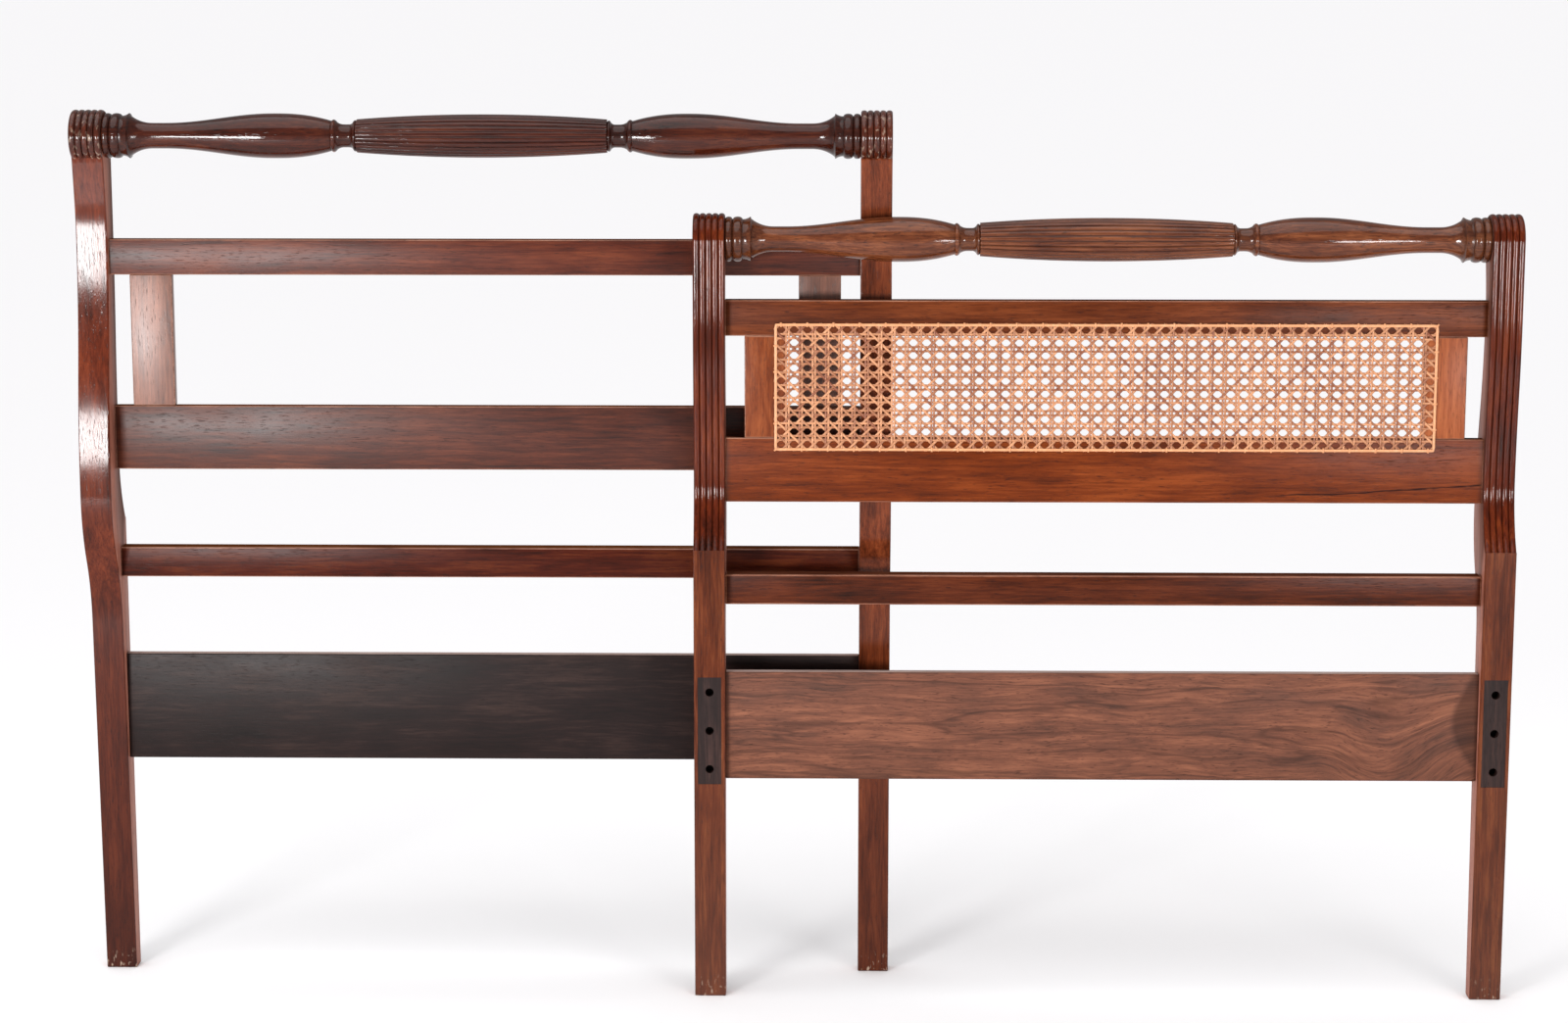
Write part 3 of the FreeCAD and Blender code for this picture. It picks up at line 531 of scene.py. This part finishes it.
# Crest rails. Each is turned from one length: two beads and a flared collar at the post, a hollow, a long
# vase, a ring and a spool, and then a barrel with 24 reeds. Its spigots are glued into the scrolls.
CREST_HALF = 445.5      # mm, as are the stations and radii of the turning
BEADS, BEAD_ROOT, BEAD_SWELL = ((0.0, 9.0), (9.0, 21.0)), 23.4, 3.1
NECK_RADIUS, SPOOL_RADIUS = 15.0, 13.5
BARREL_REEDS, BARREL_REED_DEPTH, REED_POINTS = 24, 1.2, 6
BARREL_GROOVE_DARKNESS, CREST_SHARP = 0.9, 48


def crest_profile():
    """From the post to the middle: (distance, radius, darkness, share of reeding)."""
    line = []
    for start, stop in BEADS:
        for k in range(9):
            t = k / 8
            swell = math.sqrt(max(1 - (2 * t - 1) ** 2, 0.0))
            line.append((start + (stop - start) * t, BEAD_ROOT + BEAD_SWELL * swell,
                         0.5 + 0.4 * (1 - swell) ** 2, 0))
    # flared collar and its lip
    line += [(21.0 + 9.0 * t, BEAD_ROOT + BEAD_SWELL * t * t, 0.4 + 0.5 * (1 - t) ** 3, 0)
             for t in (0.15, 0.3, 0.45, 0.6, 0.75, 0.9, 1.0)]
    line += [(30.5, 26.0, 0.4, 0), (30.8, 24.2, 0.7, 0)]
    # hollow
    line += [(30.8 + 27.2 * t, NECK_RADIUS + 9.0 * (1 - t) ** 2.3, 0.7 * (1 - t) ** 2, 0)
             for t in (k / 12 for k in range(1, 13))]
    line += [(65.0, NECK_RADIUS, 0, 0)]
    # vase, swelling slowly and then falling off
    line += [(72.0 + 128.0 * k / 20, NECK_RADIUS + 5.65 * (1 - math.cos(math.pi * k / 20)), 0, 0)
             for k in range(21)]
    line += [(205.0 + 63.0 * k / 12, 26.3 - 8.5 * (k / 12) ** 2.2, 0.4 * (k / 12) ** 6, 0) for k in range(13)]
    # ring, spool and ring
    line += [(268.0 + 6.0 * k / 6, 17.4 + 1.8 * math.sin(math.pi * k / 6),
              0.5 * (1 - math.sin(math.pi * k / 6)), 0) for k in range(7)]
    line += [(274.0 + 10.0 * t, SPOOL_RADIUS + 3.3 * (1 - t) ** 2.5, 0.5, 0)
             for t in (0.1, 0.25, 0.5, 0.75, 1.0)]
    line += [(289.0 + 5.0 * t, SPOOL_RADIUS + 3.0 * t ** 2.5, 0.5, 0) for t in (0.0, 0.3, 0.6, 0.8, 1.0)]
    line += [(294.0 + 4.0 * k / 5, 16.8 + 1.6 * math.sin(math.pi * k / 5), 0.5, 0) for k in range(6)]
    # barrel
    line += [(298.0, 18.2, 0.5, 0), (298.2, 19.4, 0.2, 0.3)]
    line += [(298.6 + 146.9 * k / 24, 25.4 - 5.8 * (1 - k / 24) ** 2, 0, 1) for k in range(25)]
    return line


# Burnished on the lathe, the polish is at its glossiest: small hard glints on beads and vases. The foot's
# wood is warmer, and its pores are drawn 2.2 mm wide, coarser still, so that they show as flecks.
crest_wood = {
    "head": rosewood(
        "rosewood_turned_and_french_polished", "#180602", "#39140A", "#542613", "X", (0.06, 0.11), 0.28),
    "foot": rosewood(
        "rosewood_turned_and_polished_in_a_warmer_tone", "#240C05", "#562A16", "#7E482A", "X", (0.06, 0.11),
        0.3, pore=(0.0022, 0.01))}
for end in ("head", "foot"):
    name = end + "_crest_rail"
    low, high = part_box(name)
    axis_y, axis_z = (low.y + high.y) / 2, (low.z + high.z) / 2
    half_line = crest_profile()
    line = [(CREST_HALF - s, *rest) for s, *rest in half_line]
    line += [(s - CREST_HALF, *rest) for s, *rest in reversed(half_line[:-1])]
    steps = BARREL_REEDS * REED_POINTS
    bm = bmesh.new()
    darkness = bm.verts.layers.float.new("darkness")
    rings = []
    for s, radius, darkening, reeded in line:
        ring = []
        for k in range(steps):
            angle = 2 * math.pi * k / steps
            across = abs((k % REED_POINTS) / (REED_POINTS / 2) - 1)
            groove = reeded * BARREL_REED_DEPTH * (1 - math.sqrt(max(1 - across ** 2, 0.0)))
            reach = (radius - groove) / 1000
            vert = bm.verts.new((END_MIDDLE[end] + s / 1000, axis_y + reach * math.cos(angle),
                                 axis_z + reach * math.sin(angle)))
            vert[darkness] = max(darkening, BARREL_GROOVE_DARKNESS * groove / BARREL_REED_DEPTH)
            ring.append(vert)
        rings.append(ring)
    for ring, after in zip(rings, rings[1:]):
        for k in range(steps):
            bm.faces.new((ring[k], ring[(k + 1) % steps], after[(k + 1) % steps], after[k]))
    for ring in (rings[0], rings[-1]):
        bm.faces.new(ring)
    crest = finished("visual_" + name, bm, [crest_wood[end]], sharp=CREST_SHARP)
    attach(crest, "root")
    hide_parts(name)

# Cane weave of the foot end. Split cane in the seven-step pattern: pairs of upright and of level strands,
# plaited over and under each other, and two sets of diagonals that leave eight-sided openings.
# It lies on the frame's mattress face; the glossy bark is outside.
COLUMNS, ROWS = 50, 10
STRAND_WIDTH, DIAGONAL_WIDTH, STRAND_THICK = 0.0024, 0.0028, 0.0006
STRAND_SWING, DIAGONAL_SWING = 0.00045, 0.0008
STRAND_POINTS, DIAGONAL_POINTS = 5.0, 4.2       # to each row of the weave
STRAND_FACETS, STRAND_SWELL = 6, 0.55
PAIR_GAP, LEVEL_GAP = 0.0015, 0.0025       # half the distance between the strands of a pair
WEAVE_SINK, FIRST_SEED = 0.0009, 3
low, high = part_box("foot_cane_panel")
weave_corner = (low.x, high.y - WEAVE_SINK, low.z)
weave_width, weave_height = high.x - low.x, high.z - low.z


def cane(name, dark, middle, light):
    """Split cane: a pale, waxy bark with blotches some 6 mm wide and fibres 0.7 mm wide, drawn coarser than
    the real ones; each strand has its own tint."""
    material = bpy.data.materials.new(name)
    material.use_nodes = True
    tree = material.node_tree
    shader = tree.nodes["Principled BSDF"]
    place = node(tree, "ShaderNodeTexCoord").outputs["Object"]
    strand = node(tree, "ShaderNodeAttribute", attribute_name="strand")
    blotch = node(tree, "ShaderNodeTexNoise", {"Vector": place, "Scale": 160.0, "Detail": 2.0})
    tone = node(tree, "ShaderNodeMix", {
        "Factor": 0.5, "A": strand.outputs["Fac"], "B": blotch.outputs["Fac"]})
    ramp = node(tree, "ShaderNodeValToRGB", {"Fac": tone.outputs["Result"]})
    first, last = ramp.color_ramp.elements
    first.position, first.color = 0.25, srgb(dark)
    last.position, last.color = 0.75, srgb(light)
    ramp.color_ramp.elements.new(0.5).color = srgb(middle)
    tree.links.new(ramp.outputs["Color"], shader.inputs["Base Color"])
    fibre = node(tree, "ShaderNodeTexNoise", {"Vector": place, "Scale": 1400.0, "Detail": 1.0})
    bump = node(tree, "ShaderNodeBump", {
        "Strength": 0.15, "Distance": 0.0002, "Height": fibre.outputs["Fac"]})
    tree.links.new(bump.outputs["Normal"], shader.inputs["Normal"])
    shader.inputs["Roughness"].default_value = 0.42
    shader.inputs["IOR"].default_value = 1.5
    return material


# The bark side gives each strand a soft shine, and age has browned it unevenly.
weave_cane = cane("cane_split_and_woven", "#7C4226", "#A16946", "#C1865E")
weave = bpy.data.node_groups.new("seven_step_weave", "GeometryNodeTree")
weave.is_modifier = True
for label, kind in (("Column pitch", "Float"), ("Row pitch", "Float"), ("Columns", "Int"), ("Rows", "Int"),
                    ("Upright gap", "Float"), ("Level gap", "Float"), ("Strand width", "Float"),
                    ("Diagonal width", "Float"), ("Strand thickness", "Float"), ("Corner", "Vector"),
                    ("Cane", "Material")):
    weave.interface.new_socket(label, in_out="INPUT", socket_type="NodeSocket" + kind)
weave.interface.new_socket("Mesh", in_out="OUTPUT", socket_type="NodeSocketGeometry")
size = node(weave, "NodeGroupInput").outputs
position = node(weave, "GeometryNodeInputPosition").outputs["Position"]
at = node(weave, "ShaderNodeSeparateXYZ", {"Vector": position}).outputs
column, row = size["Column pitch"], size["Row pitch"]
width = node(weave, "ShaderNodeMath", {0: column, 1: size["Columns"]}, operation="MULTIPLY").outputs[0]
height = node(weave, "ShaderNodeMath", {0: row, 1: size["Rows"]}, operation="MULTIPLY").outputs[0]
turn_x = node(weave, "ShaderNodeMath", {0: at["X"], 1: column}, operation="DIVIDE").outputs[0]
turn_z = node(weave, "ShaderNodeMath", {0: at["Z"], 1: row}, operation="DIVIDE").outputs[0]
wave = {}
for key, turn, kind in (("level", turn_x, "SINE"), ("upright", turn_z, "SINE"),
                        ("diagonal", turn_x, "COSINE")):
    angle = node(weave, "ShaderNodeMath", {0: turn, 1: 2 * math.pi}, operation="MULTIPLY").outputs[0]
    wave[key] = node(weave, "ShaderNodeMath", {0: angle}, operation=kind).outputs[0]
minus = {key: node(weave, "ShaderNodeMath", {0: size[key], 1: -1.0}, operation="MULTIPLY").outputs[0]
         for key in ("Upright gap", "Level gap")}
fewer = {key: node(weave, "ShaderNodeMath", {0: size[key], 1: 1.0}, operation="SUBTRACT").outputs[0]
         for key in ("Columns", "Rows")}
diagonals = node(weave, "ShaderNodeMath", {0: size["Columns"], 1: size["Rows"]}, operation="ADD").outputs[0]
half_pitch = node(weave, "ShaderNodeMath", {0: column, 1: 0.5}, operation="MULTIPLY").outputs[0]
lean = node(weave, "ShaderNodeMath", {0: column, 1: size["Rows"]}, operation="MULTIPLY").outputs[0]
back = node(weave, "ShaderNodeMath", {0: half_pitch, 1: lean}, operation="SUBTRACT").outputs[0]
sets = []
for key, gap, sign in (("upright", size["Upright gap"], 1), ("upright", minus["Upright gap"], -1),
                       ("level", size["Level gap"], -1), ("level", minus["Level gap"], 1),
                       ("diagonal", None, 1), ("diagonal", None, -1)):
    if key == "upright":
        first = node(weave, "ShaderNodeMath", {0: column, 1: gap}, operation="ADD").outputs[0]
        start, stride, count = {"X": first}, {"X": column}, fewer["Columns"]
        run = {"Z": height}
    elif key == "level":
        first = node(weave, "ShaderNodeMath", {0: row, 1: gap}, operation="ADD").outputs[0]
        start, stride, count = {"Z": first}, {"Z": row}, fewer["Rows"]
        run = {"X": width}
    elif sign > 0:
        start, stride, count = {"X": back}, {"X": column}, diagonals
        run = {"X": lean, "Z": height}
    else:
        start, stride, count = {"X": back, "Z": height}, {"X": column}, diagonals
        turned = node(weave, "ShaderNodeMath", {0: height, 1: -1.0}, operation="MULTIPLY").outputs[0]
        run = {"X": lean, "Z": turned}
    slanted = key == "diagonal"
    starts = node(weave, "GeometryNodeMeshLine", {
        "Count": count, "Start Location": node(weave, "ShaderNodeCombineXYZ", start).outputs[0],
        "Offset": node(weave, "ShaderNodeCombineXYZ", stride).outputs[0]}, mode="OFFSET")
    strip = node(weave, "GeometryNodeCurvePrimitiveLine", {
        "End": node(weave, "ShaderNodeCombineXYZ", run).outputs[0]})
    laid = node(weave, "GeometryNodeInstanceOnPoints", {
        "Points": starts.outputs["Mesh"], "Instance": strip.outputs["Curve"]})
    tint = node(weave, "FunctionNodeRandomValue", {"Seed": len(sets) + FIRST_SEED}, data_type="FLOAT")
    marked = node(weave, "GeometryNodeStoreNamedAttribute", {
        "Geometry": laid.outputs["Instances"], "Name": "strand", "Value": tint.outputs["Value"]},
        data_type="FLOAT", domain="INSTANCE")
    real = node(weave, "GeometryNodeRealizeInstances", {"Geometry": marked.outputs["Geometry"]})
    step = node(weave, "ShaderNodeMath", {0: row, 1: DIAGONAL_POINTS if slanted else STRAND_POINTS},
                operation="DIVIDE")
    points = node(weave, "GeometryNodeResampleCurve", {
        "Curve": real.outputs["Geometry"], "Length": step.outputs[0]}, mode="LENGTH")
    swing = sign * (DIAGONAL_SWING if slanted else STRAND_SWING)
    depth = node(weave, "ShaderNodeMath", {0: wave[key], 1: -swing}, operation="MULTIPLY").outputs[0]
    bent = node(weave, "GeometryNodeSetPosition", {
        "Geometry": points.outputs["Curve"],
        "Offset": node(weave, "ShaderNodeCombineXYZ", {"Y": depth}).outputs[0]})
    left = node(weave, "FunctionNodeCompare", {"A": at["X"], "B": 0.0},
                operation="LESS_THAN").outputs["Result"]
    right = node(weave, "FunctionNodeCompare", {"A": at["X"], "B": width},
                 operation="GREATER_THAN").outputs["Result"]
    beyond = node(weave, "FunctionNodeBooleanMath", {0: left, 1: right}, operation="OR").outputs[0]
    kept = node(weave, "GeometryNodeDeleteGeometry", {
        "Geometry": bent.outputs["Geometry"], "Selection": beyond})
    flat = node(weave, "GeometryNodeSetCurveNormal", {
        "Curve": kept.outputs["Geometry"], "Normal": (0, -1, 0)}, mode="FREE")
    broad = size["Diagonal width" if slanted else "Strand width"]
    form = node(weave, "ShaderNodeCombineXYZ", {"X": size["Strand thickness"], "Y": broad, "Z": 1.0})
    ring = node(weave, "GeometryNodeCurvePrimitiveCircle", {
        "Resolution": STRAND_FACETS, "Radius": STRAND_SWELL})
    lens = node(weave, "GeometryNodeTransform", {"Geometry": ring.outputs["Curve"], "Scale": form.outputs[0]})
    sets.append(node(weave, "GeometryNodeCurveToMesh", {
        "Curve": flat.outputs["Curve"], "Profile Curve": lens.outputs["Geometry"],
        "Fill Caps": True}).outputs["Mesh"])
together = node(weave, "GeometryNodeJoinGeometry")
for strands in sets:
    weave.links.new(strands, together.inputs["Geometry"])
placed = node(weave, "GeometryNodeTransform", {
    "Geometry": together.outputs["Geometry"], "Translation": size["Corner"]})
smooth = node(weave, "GeometryNodeSetShadeSmooth", {"Geometry": placed.outputs["Geometry"]})
real = node(weave, "GeometryNodeRealizeInstances", {"Geometry": smooth.outputs["Geometry"]})
clad = node(weave, "GeometryNodeSetMaterial", {
    "Geometry": real.outputs["Geometry"], "Material": size["Cane"]})
node(weave, "NodeGroupOutput", {"Mesh": clad.outputs["Geometry"]})


def grown(name, tree, **values):
    """An object whose mesh is what a node tree makes with these inputs, names with spaces as _."""
    made = bpy.data.objects.new(name, bpy.data.meshes.new(name))
    bpy.context.scene.collection.objects.link(made)
    modifier = made.modifiers.new("made", "NODES")
    modifier.node_group = tree
    for item in tree.interface.items_tree:
        if item.in_out == "INPUT":
            modifier[item.identifier] = values[item.name.replace(" ", "_").lower()]
    return baked(made)


panel = grown(
    "visual_foot_cane_panel", weave, column_pitch=weave_width / COLUMNS, row_pitch=weave_height / ROWS,
    columns=COLUMNS, rows=ROWS, upright_gap=PAIR_GAP, level_gap=LEVEL_GAP, strand_width=STRAND_WIDTH,
    diagonal_width=DIAGONAL_WIDTH, strand_thickness=STRAND_THICK, corner=weave_corner, cane=weave_cane)
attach(panel, "root")
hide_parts("foot_cane_panel")

# Binding of the cane. A wider flat strip lies over the weave's edge all round and hides its ends;
# a thin strand comes up through every second hole, crosses the strip and goes down again.
BINDING_WIDTH, BINDING_THICK, BINDING_STEP = 0.0032, 0.0010, 0.004
BINDING_FACETS, BINDING_SWELL = 8, 0.52
LOOP_WIDTH, LOOP_THICK, LOOP_FACETS, LOOP_POINTS = 0.0026, 0.0006, 6, 7
LOOP_REACH, LOOP_RISE = 0.8, 0.75       # in strip widths and strip thicknesses
# Broader and flatter than the weave's strands, the strip is painted paler as painted light, so that it
# shows as a brighter line round them.
binding_cane = cane("cane_split_flat_for_binding", "#C98A5E", "#E2A67C", "#F2C09A")
low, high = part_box("foot_cane_binding")
edging = bpy.data.node_groups.new("couched_binding", "GeometryNodeTree")
edging.is_modifier = True
for label, kind in (("Width", "Float"), ("Height", "Float"), ("Loop pitch", "Float"),
                    ("Strip width", "Float"), ("Strip thickness", "Float"), ("Loop width", "Float"),
                    ("Middle", "Vector"), ("Cane", "Material")):
    edging.interface.new_socket(label, in_out="INPUT", socket_type="NodeSocket" + kind)
edging.interface.new_socket("Mesh", in_out="OUTPUT", socket_type="NodeSocketGeometry")
size = node(edging, "NodeGroupInput").outputs
around = node(edging, "GeometryNodeCurvePrimitiveQuadrilateral", {
    "Width": size["Width"], "Height": size["Height"]})
upright = node(edging, "GeometryNodeTransform", {
    "Geometry": around.outputs["Curve"], "Rotation": (math.pi / 2, 0, 0), "Translation": size["Middle"]})
line = node(edging, "GeometryNodeResampleCurve", {
    "Curve": upright.outputs["Geometry"], "Length": BINDING_STEP}, mode="LENGTH")
flat = node(edging, "GeometryNodeSetCurveNormal", {
    "Curve": line.outputs["Curve"], "Normal": (0, -1, 0)}, mode="FREE")
form = node(edging, "ShaderNodeCombineXYZ", {
    "X": size["Strip thickness"], "Y": size["Strip width"], "Z": 1.0})
ring = node(edging, "GeometryNodeCurvePrimitiveCircle", {
    "Resolution": BINDING_FACETS, "Radius": BINDING_SWELL})
lens = node(edging, "GeometryNodeTransform", {"Geometry": ring.outputs["Curve"], "Scale": form.outputs[0]})
strip = node(edging, "GeometryNodeCurveToMesh", {
    "Curve": flat.outputs["Curve"], "Profile Curve": lens.outputs["Geometry"]})
spots = node(edging, "GeometryNodeCurveToPoints", {
    "Curve": flat.outputs["Curve"], "Length": size["Loop pitch"]}, mode="LENGTH")
reach = node(edging, "ShaderNodeMath", {0: size["Strip width"], 1: LOOP_REACH},
             operation="MULTIPLY").outputs[0]
down = node(edging, "ShaderNodeMath", {0: reach, 1: -1.0}, operation="MULTIPLY").outputs[0]
over = node(edging, "ShaderNodeMath", {0: size["Strip thickness"], 1: LOOP_RISE},
            operation="MULTIPLY").outputs[0]
under = node(edging, "ShaderNodeMath", {0: over, 1: -1.0}, operation="MULTIPLY").outputs[0]
hoop = node(edging, "GeometryNodeCurveArc", {
    "Resolution": LOOP_POINTS,
    "Start": node(edging, "ShaderNodeCombineXYZ", {"X": under, "Y": down}).outputs[0],
    "Middle": node(edging, "ShaderNodeCombineXYZ", {"X": over}).outputs[0],
    "End": node(edging, "ShaderNodeCombineXYZ", {"X": under, "Y": reach}).outputs[0]}, mode="POINTS")
wire = node(edging, "GeometryNodeCurvePrimitiveCircle", {"Resolution": LOOP_FACETS, "Radius": 0.5})
form = node(edging, "ShaderNodeCombineXYZ", {"X": LOOP_THICK, "Y": size["Loop width"], "Z": 1.0})
thin = node(edging, "GeometryNodeTransform", {"Geometry": wire.outputs["Curve"], "Scale": form.outputs[0]})
level = node(edging, "GeometryNodeSetCurveNormal", {"Curve": hoop.outputs["Curve"]}, mode="MINIMUM_TWIST")
loop = node(edging, "GeometryNodeCurveToMesh", {
    "Curve": level.outputs["Curve"], "Profile Curve": thin.outputs["Geometry"], "Fill Caps": True})
loops = node(edging, "GeometryNodeInstanceOnPoints", {
    "Points": spots.outputs["Points"], "Instance": loop.outputs["Mesh"],
    "Rotation": spots.outputs["Rotation"]})
together = node(edging, "GeometryNodeJoinGeometry")
for part in (strip.outputs["Mesh"], loops.outputs["Instances"]):
    edging.links.new(part, together.inputs["Geometry"])
real = node(edging, "GeometryNodeRealizeInstances", {"Geometry": together.outputs["Geometry"]})
smooth = node(edging, "GeometryNodeSetShadeSmooth", {"Geometry": real.outputs["Geometry"]})
clad = node(edging, "GeometryNodeSetMaterial", {
    "Geometry": smooth.outputs["Geometry"], "Material": size["Cane"]})
node(edging, "NodeGroupOutput", {"Mesh": clad.outputs["Geometry"]})
binding = grown(
    "visual_foot_cane_binding", edging, width=high.x - low.x - BINDING_WIDTH,
    height=high.z - low.z - BINDING_WIDTH, loop_pitch=2 * weave_width / COLUMNS, strip_width=BINDING_WIDTH,
    strip_thickness=BINDING_THICK, loop_width=LOOP_WIDTH,
    middle=((low.x + high.x) / 2, (low.y + high.y) / 2, (low.z + high.z) / 2), cane=binding_cane)
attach(binding, "root")
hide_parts("foot_cane_binding")

# Studio. A pale floor that runs on behind the bed, an even soft light from above, and two upright soft
# boxes beside the camera, which give the streaks on the posts and the two glints on every bead.
FLOOR_HALF = 200.0
SKY = (0.42, 0.42, 0.425, 1.0)
SUN_STRENGTH, SUN_SPREAD, SUN_TILT, SUN_TURN = 1.9, 70, 14, -40
SOFT_BOXES = (      # name, place, aim, width, height, watts
    ("studio_box_left", (-1.83, -3.0, 0.68), (-0.75, 0.0, 0.6), 0.86, 0.5, 92.0),
    ("studio_box_right", (2.1, -3.1, 0.62), (0.5, 0.0, 0.6), 1.2, 0.4, 54.0))
floor_mesh = bmesh.new()
bmesh.ops.create_grid(floor_mesh, x_segments=1, y_segments=1, size=FLOOR_HALF)
# Matt paint shows no reflection of the bed, only its soft shadow.
floor_paint = bpy.data.materials.new("paint_white_matt")
floor_paint.use_nodes = True
floor_shader = floor_paint.node_tree.nodes["Principled BSDF"]
floor_shader.inputs["Base Color"].default_value = srgb("#FAF9FA")
floor_shader.inputs["Roughness"].default_value = 0.9
floor_shader.inputs["Specular IOR Level"].default_value = 0.1
floor = finished("studio_floor", floor_mesh, [floor_paint])
world = bpy.data.worlds.new("studio_light")
world.use_nodes = True
world.node_tree.nodes["Background"].inputs["Color"].default_value = SKY
world.node_tree.nodes["Background"].inputs["Strength"].default_value = 1.0
bpy.context.scene.world = world
sun = bpy.data.objects.new("studio_overhead", bpy.data.lights.new("studio_overhead", "SUN"))
sun.data.energy = SUN_STRENGTH
sun.data.angle = math.radians(SUN_SPREAD)
sun.rotation_euler = (math.radians(SUN_TILT), 0, math.radians(SUN_TURN))
stage = [floor, sun]
for name, spot, aim, wide, tall, watts in SOFT_BOXES:
    lamp = bpy.data.objects.new(name, bpy.data.lights.new(name, "AREA"))
    lamp.data.shape = "RECTANGLE"
    lamp.data.size, lamp.data.size_y = wide, tall
    lamp.data.energy = watts
    lamp.location = spot
    away = [a - b for a, b in zip(aim, spot)]
    lamp.rotation_euler = (math.atan2(math.hypot(away[0], away[1]), -away[2]), 0,
                           math.atan2(-away[0], away[1]))
    lamp.visible_camera = False
    stage.append(lamp)

# Camera. A long lens about 3.8 m in front of the pair and a little above it, looking slightly down.
CAMERA_PLACE, CAMERA_DIP, CAMERA_TURN = (0.0548, -3.8477, 1.2334), 9.622, 0.975
CAMERA_SENSOR, CAMERA_LENS, CAMERA_REACH = 36.0, 75.2, 500.0
camera = bpy.data.objects.new("camera", bpy.data.cameras.new("camera"))
camera.data.sensor_width, camera.data.lens = CAMERA_SENSOR, CAMERA_LENS
camera.location = CAMERA_PLACE
camera.rotation_euler = (math.radians(90 - CAMERA_DIP), 0, math.radians(CAMERA_TURN))
camera.data.clip_end = CAMERA_REACH
stage.append(camera)
for item in stage[1:]:
    bpy.context.scene.collection.objects.link(item)
bpy.context.scene.camera = camera
bpy.context.scene.view_settings.view_transform = "Standard"
